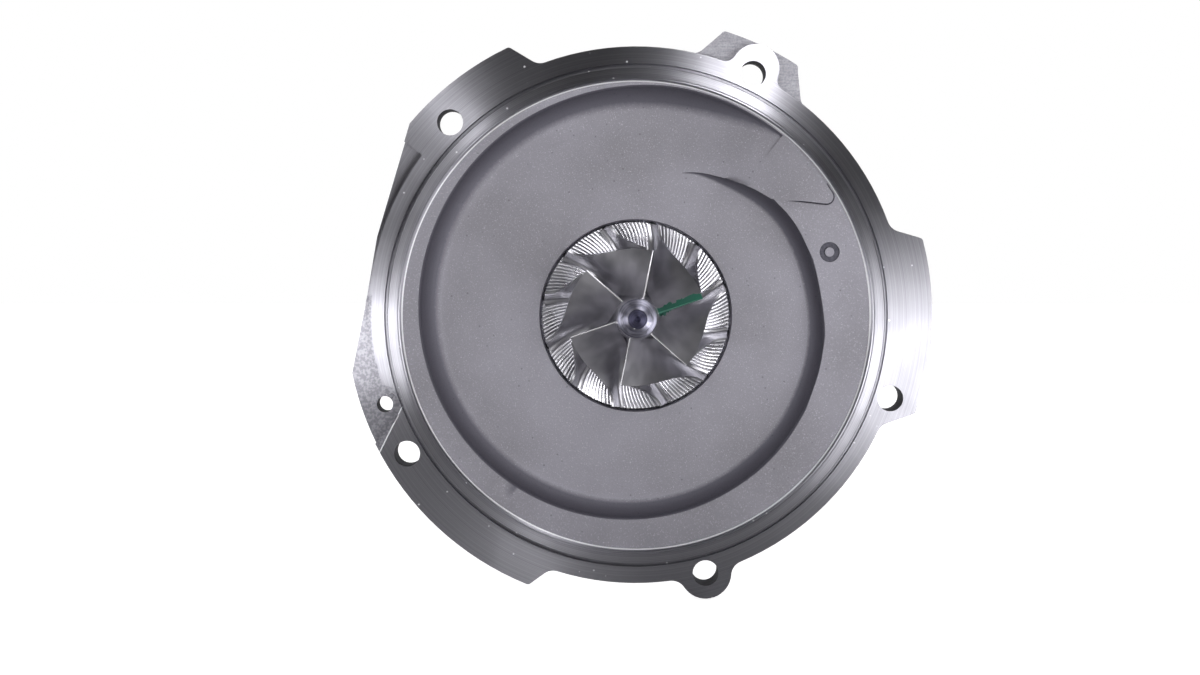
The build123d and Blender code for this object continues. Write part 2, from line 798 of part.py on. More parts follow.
def housing_profile():
    front = -joint_depth
    neck = front - housing_flange_thickness
    waist = neck - 9
    rear = -rear_flange_depth
    back = rear - rear_flange_thickness
    bevel = rear_flange_bevel
    shield_seat = shield_rim_radius + shield_gap
    return turned([
        (0, front), (housing_flange_radius, front), (housing_flange_radius, neck),
        (housing_shoulder_radius, neck), (housing_waist_radius, waist), (housing_waist_radius, waist - 13),
        (housing_shoulder_radius, rear + 5), (rear_flange_radius - 5, rear + 1),
        (rear_flange_radius - bevel, rear), (rear_flange_radius, rear - bevel),
        (rear_flange_radius, back + bevel), (rear_flange_radius - bevel, back), (shield_seat, back),
        (shield_seat, back + shield_sheet), (spigot_radius, back + shield_sheet),
        (spigot_radius, back - spigot_length), (0, back - spigot_length),
    ])


def plug_place(radius):
    return (*along(radius, plug_angle), -plug_depth)


def housing_bosses():
    drain = Plane.XZ * Pos(0, -drain_depth) * RectangleRounded(
        drain_flange_width, drain_flange_length, drain_flange_round
    )
    bosses = [
        rod(inlet_boss_radius, (0, 10, -inlet_depth), (0, inlet_height, -inlet_depth)),
        rod(drain_neck_radius, (0, -10, -drain_depth), (0, -drain_height + 1, -drain_depth)),
        Pos(0, -drain_height + drain_flange_thickness, 0) * extrude(drain, drain_flange_thickness),
        rod(plug_boss_radius, plug_place(jacket_inner), plug_place(plug_reach)),
    ]
    for side in (-1, 1):
        bosses.append(rod(port_boss_radius, (side * 12, 0, -port_depth), (side * port_reach, 0, -port_depth)))
    return bosses


def water_jacket():
    body = turned([
        (jacket_inner, -jacket_front_depth), (jacket_front_radius, -jacket_front_depth),
        (jacket_rear_radius, -jacket_rear_depth + 5), (jacket_rear_radius, -jacket_rear_depth),
        (jacket_inner, -jacket_rear_depth),
    ])
    floor = Pos(0, -ear_radius / 2, -port_depth) * Box(2 * drain_channel_width, ear_radius, ear_radius)
    return body - floor


def oil_passages():
    front_bush = -front_bush_depth - bush_length / 2
    rear_bush = -rear_bush_depth - bush_length / 2
    counterbore = -joint_depth - thrust_thickness
    channel_rear = -front_of_seal_bore
    channel_length = counterbore - channel_rear
    channel_height = drain_channel_bottom - drain_channel_top
    inlet_floor = inlet_height - inlet_thread_length
    middle_front = -front_bush_depth - bush_length - 2
    middle_rear = -rear_bush_depth + 2
    return [
        rod(inlet_thread_radius, (0, inlet_floor, -inlet_depth), (0, inlet_height + 1, -inlet_depth)),
        rod(inlet_drill_radius, (0, gallery_height, -inlet_depth), (0, inlet_floor + 1, -inlet_depth)),
        rod(gallery_radius, (0, gallery_height, rear_bush - 1.5), (0, gallery_height, counterbore + 1)),
        rod(feed_radius, (0, 0, front_bush), (0, gallery_height, front_bush)),
        rod(feed_radius, (0, 0, rear_bush), (0, gallery_height, rear_bush)),
        Pos(0, -(drain_channel_top + drain_channel_bottom) / 2, channel_rear + channel_length / 2)
        * Box(drain_channel_width, channel_height, channel_length),
        disc(middle_cavity_radius, middle_rear, middle_front),
        Pos(0, -drain_channel_top / 2 - 0.5, (middle_rear + middle_front) / 2)
        * Box(drain_channel_width, drain_channel_top + 1, middle_front - middle_rear),
        disc(slinger_radius, channel_rear, channel_rear + slinger_width),
        disc(thrust_cavity_radius, counterbore - thrust_cavity_depth, counterbore + 1),
        rod(drain_radius, (0, -drain_height - 1, -drain_depth), (0, -drain_channel_bottom, -drain_depth)),
    ]


def bearing_housing():
    front = -joint_depth
    counterbore = front - thrust_thickness
    back = -rear_flange_depth - rear_flange_thickness - spigot_length
    body = housing_profile() + housing_bosses()
    body -= [
        disc(thrust_radius + 0.1, counterbore, front + 1),
        disc(bearing_bore, -front_of_seal_bore, front + 1),
        disc(boss_radius + turbine_seal_gap, back - 1, -front_of_seal_bore + 1),
        water_jacket(),
    ]
    body -= oil_passages()
    for depth in (front_bush_depth, rear_bush_depth):
        for start in clip_depths(depth):
            body -= disc(bearing_bore + clip_reach, -start - clip_thickness - 0.05, -start + 0.05)
    for side in (-1, 1):
        face = side * (port_reach + 1)
        thread_end = side * (port_reach - port_thread_length)
        body -= rod(port_thread_radius, (thread_end, 0, -port_depth), (face, 0, -port_depth))
        body -= rod(port_bore_radius, (side * (jacket_inner + 1), 0, -port_depth), (face, 0, -port_depth))
        stud = side * drain_stud_spacing / 2
        body -= rod(drain_thread_radius, (stud, -drain_height - 1, -drain_depth),
                    (stud, -drain_height + drain_flange_thickness + 1, -drain_depth))
    body -= rod(plug_radius, plug_place(jacket_inner + 4), plug_place(plug_reach + 1))
    for angle in joint_bolt_angles:
        hole = along(joint_bolt_circle, angle)
        body -= rod(joint_bolt_radius + bolt_clearance, (*hole, front - housing_flange_thickness - 1),
                    (*hole, front + 1))
    hole = along(joint_bolt_circle, dowel_angle)
    body -= rod(dowel_radius + seat_fit, (*hole, front - dowel_length / 2 - 0.3), (*hole, front + 1))
    for x, y, top in thrust_screw_places(front):
        low = counterbore - thrust_screw_depth - 0.3
        body -= rod(thrust_screw_radius + seat_fit, (x, y, low), (x, y, top))
    groove = o_ring_width / 2 + o_ring_gap
    body -= ring(o_ring_radius + groove, o_ring_radius - groove, front - o_ring_height, front + 1)
    hole = along(turbine_dowel_circle, turbine_dowel_angle)
    body -= rod(turbine_dowel_radius + seat_fit, (*hole, turbine_dowel_front + 0.3), (*hole, back))
    return body


def back_plate_bolts():
    seat = -joint_depth - housing_flange_thickness
    tip = -joint_depth + joint_thread_depth - 0.5
    low = seat - bolt_head_height
    hexagon = RegularPolygon(bolt_head_radius, 6)
    head = Pos(0, 0, low) * extrude(hexagon, bolt_head_height)
    head &= turned([(0, low), (bolt_head_radius - 0.8, low), (bolt_head_radius + 1, low + 1.1),
                    (bolt_head_radius + 1, seat), (0, seat)])
    washer = disc(bolt_washer_radius, seat - bolt_washer_thickness, seat)
    bolt = head + washer + disc(joint_bolt_radius, seat - 1, tip)
    return Compound([Pos(*along(joint_bolt_circle, angle)) * bolt for angle in joint_bolt_angles])


def back_plate_o_ring():
    section = Pos(o_ring_radius, -joint_depth - o_ring_height / 2) * Ellipse(
        o_ring_width / 2, o_ring_height / 2 - seat_fit
    )
    return revolve(Plane.XZ * section, Axis.Z)


def back_plate_dowel():
    place = along(joint_bolt_circle, dowel_angle)
    half = dowel_length / 2
    return rod(dowel_radius, (*place, -joint_depth - half), (*place, -joint_depth + half))


def turbine_housing_dowel():
    place = along(turbine_dowel_circle, turbine_dowel_angle)
    rear = turbine_dowel_front - turbine_dowel_length
    return rod(turbine_dowel_radius, (*place, turbine_dowel_front), (*place, rear))


def jacket_core_plug():
    outer = plug_reach - plug_recess
    inner = outer - plug_thickness
    body = rod(plug_radius - seat_fit, plug_place(inner), plug_place(outer))
    return body - rod(plug_radius - plug_wall, plug_place(inner + plug_wall), plug_place(outer + 1))


def heat_shield():
    seat = shield_sheet - rear_flange_depth - rear_flange_thickness
    inner = spigot_radius + shield_gap
    outer = inner + shield_sheet
    face = -shield_depth
    profile = Polyline(
        (inner, seat), (shield_rim_radius, seat), (shield_rim_radius, seat - shield_sheet),
        (outer, seat - shield_sheet), (outer, face - shield_sheet + 1.2), (outer - 1.2, face - shield_sheet),
        (shield_bore_radius, face - shield_sheet), (shield_bore_radius, face),
        (inner - 0.7, face), (inner, face + 0.7), close=True,
    )
    return revolve(make_face(Plane.XZ * profile), Axis.Z)


pieces = {
    "compressor_back_plate": back_plate,
    "bearing_housing": bearing_housing,
    "back_plate_bolts": back_plate_bolts,
    "back_plate_o_ring": back_plate_o_ring,
    "back_plate_dowel": back_plate_dowel,
    "oil_deflector": oil_deflector,
    "thrust_bearing": thrust_bearing,
    "thrust_bearing_screws": thrust_bearing_screws,
    "compressor_seal_ring": compressor_seal_ring,
    "turbine_seal_rings": turbine_seal_rings,
    "front_bearing_circlips": lambda: bearing_circlips(front_bush_depth),
    "rear_bearing_circlips": lambda: bearing_circlips(rear_bush_depth),
    "front_journal_bearing": lambda: journal_bearing(front_bush_depth),
    "rear_journal_bearing": lambda: journal_bearing(rear_bush_depth),
    "heat_shield": heat_shield,
    "jacket_core_plug": jacket_core_plug,
    "turbine_housing_dowel": turbine_housing_dowel,
    "rotor_shaft": rotor_shaft,
    "turbine_wheel": turbine_wheel,
    "thrust_collar": thrust_collar,
    "seal_sleeve": seal_sleeve,
    "compressor_wheel": compressor_wheel,
    "shaft_lock_nut": shaft_lock_nut,
}

os.makedirs("parts", exist_ok=True)
for name, make in pieces.items():
    shape = make()
    export_step(Rot(90, 0, 0) * shape, f"parts/{name}.step")
    print(name, len(shape.solids()), round(shape.volume))
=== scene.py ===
import bmesh
import bpy
import math
import numpy as np
from mathutils import Matrix, Vector


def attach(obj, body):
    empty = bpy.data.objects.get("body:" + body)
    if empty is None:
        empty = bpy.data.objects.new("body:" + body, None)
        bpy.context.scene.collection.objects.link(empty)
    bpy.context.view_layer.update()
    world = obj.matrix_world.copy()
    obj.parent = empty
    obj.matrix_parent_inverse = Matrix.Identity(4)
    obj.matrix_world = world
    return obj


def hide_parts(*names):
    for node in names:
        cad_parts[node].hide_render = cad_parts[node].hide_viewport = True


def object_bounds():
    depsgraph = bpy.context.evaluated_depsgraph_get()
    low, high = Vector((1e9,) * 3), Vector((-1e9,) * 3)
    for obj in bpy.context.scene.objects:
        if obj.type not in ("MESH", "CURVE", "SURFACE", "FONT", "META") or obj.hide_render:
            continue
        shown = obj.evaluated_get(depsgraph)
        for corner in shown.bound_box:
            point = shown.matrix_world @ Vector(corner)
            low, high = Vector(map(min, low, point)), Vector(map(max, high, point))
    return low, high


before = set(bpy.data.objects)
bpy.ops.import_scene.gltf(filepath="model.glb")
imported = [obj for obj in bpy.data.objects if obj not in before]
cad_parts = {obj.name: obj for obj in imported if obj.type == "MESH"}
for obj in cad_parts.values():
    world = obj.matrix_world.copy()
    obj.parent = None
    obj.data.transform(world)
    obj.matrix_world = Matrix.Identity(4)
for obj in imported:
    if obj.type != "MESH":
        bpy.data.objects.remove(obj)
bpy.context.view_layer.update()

scene = bpy.context.scene
mm = 0.001
print("frame loaded")

# The shaft lies along Y with the compressor end towards -Y, Z is up, and the joint face is at Y = 0
# Sizes in the dictionaries are millimetres and degrees, and heights count forwards from the joint face

colourA, colourB = 6, 7                             # inputs of a Mix node that mixes colours
crispNoise, softNoise = (0.35, 0.65), (0.3, 0.7)    # a noise is stretched between these
falling = {3: 1.0, 4: 0.0}                          # what a Map Range gives for a mask that ends


def between(limits):    # the values that a Map Range works from and to
    return {1: limits[0], 2: limits[1]}


def linearColour(hexText):
    parts = [int(hexText[i:i + 2], 16) / 255 for i in (1, 3, 5)]
    return [part / 12.92 if part <= 0.04045 else ((part + 0.055) / 1.055) ** 2.4 for part in parts] + [1]


def tones(dark, light):    # the two colours of a Mix node
    return {colourA: linearColour(dark), colourB: linearColour(light)}


def addNode(tree, kind, inputs=None, **settings):    # a node given as an input stands for its output in use
    made = tree.nodes.new(kind)
    for name, value in settings.items():
        setattr(made, name, value)
    for key, value in (inputs or {}).items():
        if isinstance(value, bpy.types.Node):
            value = next(socket for socket in value.outputs if socket.enabled)
        if isinstance(value, bpy.types.NodeSocket):
            tree.links.new(value, made.inputs[key])
        else:
            made.inputs[key].default_value = value
    return made


def startMaterial(name):
    material = bpy.data.materials.new(name)
    material.use_nodes = True
    material.node_tree.nodes.clear()
    place = addNode(material.node_tree, "ShaderNodeTexCoord").outputs["Object"]
    return material, material.node_tree, place


def endMaterial(material, tree, shader):
    addNode(tree, "ShaderNodeOutputMaterial", {"Surface": shader})
    return material


# Aluminium of the back plate

castFace = {
    "light": "#93919A", "dark": "#848289", "cloud": 30,               # blasted metal in wide soft patches
    "paintedGlint": "#C0BFC8", "paintedGlints": (0.60, 0.74), "glintShare": 0.6,    # painted glints on its grains
    "hollow": "#5F5D67", "leans": (-0.17, -0.42),                     # painted shade on walls that lean to the shaft
    "pit": "#4A4952", "pitSpacing": 3.4, "pitSize": (0.05, 0.09), "pitShare": 0.45,
    "grain": 0.32, "relief": 0.28, "reliefDepth": 0.12, "metallic": 0.5, "roughness": (0.68, 0.5),
}


def asCastAluminium():    # sand-cast and blasted: matte grey, grain with painted glints that sparkle a little, rare dark pits
    material, tree, place = startMaterial("asCastAluminium")
    grain = addNode(tree, "ShaderNodeTexNoise", {
        "Vector": place, "Scale": 1000 / castFace["grain"], "Detail": 2.0, "Roughness": 0.6})
    cloud = addNode(tree, "ShaderNodeTexNoise", {
        "Vector": place, "Scale": 1000 / castFace["cloud"], "Detail": 3.0})
    patches = addNode(tree, "ShaderNodeMapRange", {0: cloud, **between(crispNoise)})
    flatTone = addNode(tree, "ShaderNodeMix", {
        0: patches, **tones(castFace["dark"], castFace["light"])}, data_type="RGBA")
    flat = addNode(tree, "ShaderNodeVectorMath", {0: place, 1: (1, 0, 1)}, operation="MULTIPLY")
    outward = addNode(tree, "ShaderNodeVectorMath", {0: flat}, operation="NORMALIZE")
    facing = addNode(tree, "ShaderNodeVectorMath", {
        0: addNode(tree, "ShaderNodeNewGeometry").outputs["Normal"], 1: outward}, operation="DOT_PRODUCT")
    # Painted shade: walls that lean towards the shaft are darkened, and their glints are left out
    paintedShade = addNode(tree, "ShaderNodeMapRange", {0: facing, **between(castFace["leans"])})
    body = addNode(tree, "ShaderNodeMix", {
        0: paintedShade, colourA: flatTone, colourB: linearColour(castFace["hollow"])}, data_type="RGBA")
    # Painted glints: a lighter colour on some grains
    paintedGlints = addNode(tree, "ShaderNodeMapRange", {
        0: grain, **between(castFace["paintedGlints"]), 3: 0.0, 4: castFace["glintShare"]})
    unshaded = addNode(tree, "ShaderNodeMath", {0: 1.0, 1: paintedShade}, operation="SUBTRACT")
    sparkle = addNode(tree, "ShaderNodeMath", {0: paintedGlints, 1: unshaded}, operation="MULTIPLY")
    bright = addNode(tree, "ShaderNodeMix", {
        0: sparkle, colourA: body, colourB: linearColour(castFace["paintedGlint"])}, data_type="RGBA")
    pits = addNode(tree, "ShaderNodeTexVoronoi", {"Vector": place, "Scale": 1000 / castFace["pitSpacing"]})
    pitMask = addNode(tree, "ShaderNodeMapRange", {
        0: pits, **between(castFace["pitSize"]), 3: castFace["pitShare"], 4: 0.0})
    colour = addNode(tree, "ShaderNodeMix", {
        0: pitMask, colourA: bright, colourB: linearColour(castFace["pit"])}, data_type="RGBA")
    height = addNode(tree, "ShaderNodeMath", {0: grain, 1: pitMask}, operation="SUBTRACT")
    bump = addNode(tree, "ShaderNodeBump", {
        "Strength": castFace["relief"], "Distance": castFace["reliefDepth"] * mm, "Height": height})
    matte, smooth = castFace["roughness"]
    rough = addNode(tree, "ShaderNodeMapRange", {0: grain, **between(softNoise), 3: matte, 4: smooth})
    return endMaterial(material, tree, addNode(tree, "ShaderNodeBsdfPrincipled", {
        "Base Color": colour, "Metallic": castFace["metallic"], "Roughness": rough, "Normal": bump}))


turnedFinishes = {    # light and dark tone, marks' spacing in mm, roughness, lean of the marks, anisotropy
    # The marks are drawn coarser than the real 0.1 mm so that they show
    # They lean outwards, so that each lamp shines on its own side of the shaft
    "turnedAluminium": ("#AEADB4", "#9C9BA3", 0.35, 0.32, 0.19, 1.0),
    "turnedNutSteel": ("#A4A3B2", "#7F7E8E", 0.6, 0.34, 0.13, 0.7),
    "turnedShaftSteel": ("#64637A", "#4D4C61", 0.5, 0.34, 0.06, 0.6),
}
turnedWearAndGlints = {
    # Nicks are real dents whose brightness is painted as glints; nicks, the ring's inner edge and the burr
    # get this colour as painted highlights
    "highlightColour": "#F2F2F6", "nickSpacing": 4.2, "nickSize": (0.04, 0.08), "nickShare": 0.9,
    "grain": 0.7, "wipe": 17, "wipeChange": (-0.05, 0.06), "relief": 0.10, "reliefDepth": 0.06,
    "edgeRadius": 63.1, "edgeWidth": 0.16,    # a painted highlight along the ring's inner edge
}
leftSkin = {    # the left ledge still has its casting skin where the tool didn't reach
    "light": "#A3A2AA", "dark": "#87868E", "speckle": (0.42, 0.6), "dulling": (0.6, 0.25),
    "radius": 71.3, "fade": 0.3,                              # past this radius
    "hole": (-68.2, -24.0), "holeReach": 5.0,                 # and round the small hole
    "top": 6.0,                                               # but only below this
    "along": (-0.894, 0.447), "end": 45.6, "endFade": 0.2,    # and past a line across the ledge
    "burrWidth": 0.16, "burrTop": -24.5,                      # which gets a painted highlight along a burr below this
}


def ledgeSkin(tree, flat, radius):    # one mask for the skin and one for the painted highlight on the burr at its end
    holeX, holeZ = leftSkin["hole"]
    fromHole = addNode(tree, "ShaderNodeVectorMath", {
        0: flat, 1: (holeX * mm, 0, holeZ * mm)}, operation="DISTANCE")
    ledge, reach, fade = [leftSkin[size] * mm for size in ("radius", "holeReach", "fade")]
    pastRing = addNode(tree, "ShaderNodeMapRange", {0: radius, 1: ledge, 2: ledge + fade})
    nearHole = addNode(tree, "ShaderNodeMapRange", {0: fromHole, 1: reach, 2: reach + fade, **falling})
    skin = addNode(tree, "ShaderNodeMath", {0: pastRing, 1: nearHole}, operation="MAXIMUM")
    alongX, alongZ = leftSkin["along"]
    distance = addNode(tree, "ShaderNodeVectorMath", {
        0: flat, 1: (alongX, 0, alongZ)}, operation="DOT_PRODUCT")
    upright = addNode(tree, "ShaderNodeSeparateXYZ", {0: flat}).outputs["Z"]
    end, top = leftSkin["end"] * mm, leftSkin["top"] * mm
    pastEnd = addNode(tree, "ShaderNodeMapRange", {0: distance, 1: end, 2: end + leftSkin["endFade"] * mm})
    underTop = addNode(tree, "ShaderNodeMapRange", {0: upright, 1: top - fade, 2: top, **falling})
    for limit in (pastEnd, underTop):
        skin = addNode(tree, "ShaderNodeMath", {0: skin, 1: limit}, operation="MULTIPLY")
    # Painted highlight: a thin bright line where the skin ends
    step = addNode(tree, "ShaderNodeMath", {
        0: distance, 1: end, 2: leftSkin["burrWidth"] * mm}, operation="COMPARE")
    belowHole = addNode(tree, "ShaderNodeMath", {
        0: upright, 1: leftSkin["burrTop"] * mm}, operation="LESS_THAN")
    burrHighlight = addNode(tree, "ShaderNodeMath", {0: step, 1: belowHole}, operation="MULTIPLY")
    return skin, burrHighlight


def turnedMetal(name):    # faced on a lathe: fine rings, and bright sectors where they catch a lamp
    light, dark, feed, roughness, tilt, anisotropy = turnedFinishes[name]
    material, tree, place = startMaterial(name)
    flat = addNode(tree, "ShaderNodeVectorMath", {0: place, 1: (1, 0, 1)}, operation="MULTIPLY")
    radius = addNode(tree, "ShaderNodeVectorMath", {0: flat}, operation="LENGTH")
    rings = addNode(tree, "ShaderNodeTexNoise", {
        "W": radius, "Scale": 1000 / feed, "Detail": 2.0}, noise_dimensions="1D")
    grain = addNode(tree, "ShaderNodeTexNoise", {
        "Vector": place, "Scale": 1000 / turnedWearAndGlints["grain"], "Detail": 2.0})
    wipe = addNode(tree, "ShaderNodeTexNoise", {
        "Vector": place, "Scale": 1000 / turnedWearAndGlints["wipe"], "Detail": 4.0})
    shade = addNode(tree, "ShaderNodeMapRange", {0: rings, **between(crispNoise)})
    body = addNode(tree, "ShaderNodeMix", {0: shade, **tones(dark, light)}, data_type="RGBA")
    dents = addNode(tree, "ShaderNodeTexVoronoi", {
        "Vector": place, "Scale": 1000 / turnedWearAndGlints["nickSpacing"]})
    nickMask = addNode(tree, "ShaderNodeMapRange", {
        0: dents, **between(turnedWearAndGlints["nickSize"]), 3: turnedWearAndGlints["nickShare"], 4: 0.0})
    skin, burrHighlight = ledgeSkin(tree, flat, radius)
    # Painted highlight along the ring's inner edge, and on the nicks and the burr, in white and less
    # metallic
    innerEdgeHighlight = addNode(tree, "ShaderNodeMath", {
        0: radius, 1: turnedWearAndGlints["edgeRadius"] * mm, 2: turnedWearAndGlints["edgeWidth"] * mm}, operation="COMPARE")
    nicksAndHighlights = nickMask
    for line in (innerEdgeHighlight, burrHighlight):
        nicksAndHighlights = addNode(tree, "ShaderNodeMath", {0: nicksAndHighlights, 1: line}, operation="MAXIMUM")
    speckle = addNode(tree, "ShaderNodeMapRange", {0: grain, **between(leftSkin["speckle"])})
    skinTone = addNode(tree, "ShaderNodeMix", {
        0: speckle, **tones(leftSkin["dark"], leftSkin["light"])}, data_type="RGBA")
    skinned = addNode(tree, "ShaderNodeMix", {0: skin, colourA: body, colourB: skinTone}, data_type="RGBA")
    colour = addNode(tree, "ShaderNodeMix", {
        0: nicksAndHighlights, colourA: skinned, colourB: linearColour(turnedWearAndGlints["highlightColour"])}, data_type="RGBA")
    skinShare, dullest = leftSkin["dulling"]
    dull = addNode(tree, "ShaderNodeMath", {0: skin, 1: skinShare}, operation="MULTIPLY")
    patch = addNode(tree, "ShaderNodeMath", {0: nicksAndHighlights, 1: dull}, operation="MAXIMUM")
    metallic = addNode(tree, "ShaderNodeMapRange", {0: patch, 3: 1.0, 4: dullest})
    burr = addNode(tree, "ShaderNodeMath", {0: rings, 1: grain}, operation="ADD")
    height = addNode(tree, "ShaderNodeMath", {0: burr, 1: nickMask}, operation="SUBTRACT")
    outward = addNode(tree, "ShaderNodeVectorMath", {0: flat}, operation="NORMALIZE")
    lean = addNode(tree, "ShaderNodeVectorMath", {0: outward, 3: tilt}, operation="SCALE")
    flank = addNode(tree, "ShaderNodeVectorMath", {
        0: addNode(tree, "ShaderNodeNewGeometry").outputs["Normal"], 1: lean}, operation="ADD")
    bump = addNode(tree, "ShaderNodeBump", {
        "Strength": turnedWearAndGlints["relief"], "Distance": turnedWearAndGlints["reliefDepth"] * mm, "Height": height,
        "Normal": addNode(tree, "ShaderNodeVectorMath", {0: flank}, operation="NORMALIZE")})
    smoother, duller = turnedWearAndGlints["wipeChange"]
    rough = addNode(tree, "ShaderNodeMapRange", {
        0: wipe, **between(softNoise), 3: roughness + smoother, 4: roughness + duller})
    return endMaterial(material, tree, addNode(tree, "ShaderNodeBsdfPrincipled", {
        "Base Color": colour, "Metallic": metallic, "Roughness": rough, "Anisotropic": anisotropy,
        "Tangent": flat, "Normal": bump}))


milledFace = {
    "light": "#B0AFB6", "dark": "#8F8E95", "contrast": (0.7, 1.3), "roughness": 0.5, "grain": 0.5,
    "stroke": 0.5, "strokeTurn": 68, "strokeStretch": 0.12, "relief": 0.15, "reliefDepth": 0.06,
}


def milledAluminium():    # face-milled steps: straight, slightly uneven cutter strokes
    material, tree, place = startMaterial("milledAluminium")
    stretched = addNode(tree, "ShaderNodeMapping", {
        "Vector": place, "Rotation": (0, math.radians(milledFace["strokeTurn"]), 0),
        "Scale": (milledFace["strokeStretch"], 1.0, 1.0)})
    stroke = addNode(tree, "ShaderNodeTexNoise", {
        "Vector": stretched, "Scale": 1000 / milledFace["stroke"], "Detail": 3.0})
    grain = addNode(tree, "ShaderNodeTexNoise", {
        "Vector": place, "Scale": 1000 / milledFace["grain"], "Detail": 2.0})
    both = addNode(tree, "ShaderNodeMath", {0: stroke, 1: grain}, operation="ADD")
    shade = addNode(tree, "ShaderNodeMapRange", {0: both, **between(milledFace["contrast"])})
    colour = addNode(tree, "ShaderNodeMix", {
        0: shade, **tones(milledFace["dark"], milledFace["light"])}, data_type="RGBA")
    bump = addNode(tree, "ShaderNodeBump", {
        "Strength": milledFace["relief"], "Distance": milledFace["reliefDepth"] * mm, "Height": both})
    return endMaterial(material, tree, addNode(tree, "ShaderNodeBsdfPrincipled", {
        "Base Color": colour, "Metallic": 1.0, "Roughness": milledFace["roughness"], "Normal": bump}))


# Aluminium of the compressor wheel, with the dab of paint on one blade

wheelFinishes = {    # light and dark tone, roughness, and how much the grain shows
    "millCutAluminium": ("#CBCACF", "#A3A2A8", 0.33, 0.06),      # the blades
    "scallopedAluminium": ("#DEDDE3", "#C9C8CF", 0.29, 0.004),    # the floor between them
}
wheelMarksAndHighlights = {
    "bands": 6.5, "grain": 0.6, "reliefDepth": 0.05, "roughnessChange": 0.05,
    "edge": "#FFFFFF", "edgeShare": (0.66, 0.8), "edgeDulling": 0.75,    # leading edges, a painted highlight
}
paintDab = {
    "colour": "#17644F", "thin": "#2F5B50", "roughness": 0.55,
    "start": (5.4, 1.1), "end": (17.4, 5.6),    # X and Z where the brush began and ended
    "width": 1.2, "ragged": 2.2, "wander": 0.6,
    "height": 1.0,                              # only this far in front of the joint face
    "fades": (0.15, 0.5, 0.3, 0.6),             # of its sides, its start, its end and its depth
}


def paintStroke(tree, place, ragged):    # a mask for the dab
    (startX, startZ), (endX, endZ) = paintDab["start"], paintDab["end"]
    length = math.hypot(endX - startX, endZ - startZ)
    along = Vector(((endX - startX) / length, 0, (endZ - startZ) / length))
    across = Vector((-along.z, 0, along.x))
    side, wander = paintDab["width"] * mm, paintDab["wander"] * mm
    sideFade, startFade, endFade, depthFade = [fade * mm for fade in paintDab["fades"]]
    moved = addNode(tree, "ShaderNodeVectorMath", {
        0: place, 1: (startX * mm, 0, startZ * mm)}, operation="SUBTRACT")
    run = addNode(tree, "ShaderNodeVectorMath", {0: moved, 1: along}, operation="DOT_PRODUCT")
    off = addNode(tree, "ShaderNodeVectorMath", {0: moved, 1: across}, operation="DOT_PRODUCT")
    drift = addNode(tree, "ShaderNodeMapRange", {
        0: ragged, **between(softNoise), 3: -wander, 4: wander}, clamp=False)
    drifted = addNode(tree, "ShaderNodeMath", {0: off, 1: drift}, operation="ADD")
    offSize = addNode(tree, "ShaderNodeMath", {0: drifted}, operation="ABSOLUTE")
    narrow = addNode(tree, "ShaderNodeMapRange", {0: offSize, 1: side, 2: side + sideFade, **falling})
    begun = addNode(tree, "ShaderNodeMapRange", {0: run, 1: 0.0, 2: startFade})
    ended = addNode(tree, "ShaderNodeMapRange", {
        0: run, 1: length * mm - endFade, 2: length * mm + endFade, **falling})
    depth = addNode(tree, "ShaderNodeSeparateXYZ", {0: place}).outputs["Y"]
    behind = -paintDab["height"] * mm
    front = addNode(tree, "ShaderNodeMapRange", {0: depth, 1: behind, 2: behind + depthFade, **falling})
    mask = narrow
    for part in (begun, ended, front):
        mask = addNode(tree, "ShaderNodeMath", {0: mask, 1: part}, operation="MULTIPLY")
    return mask


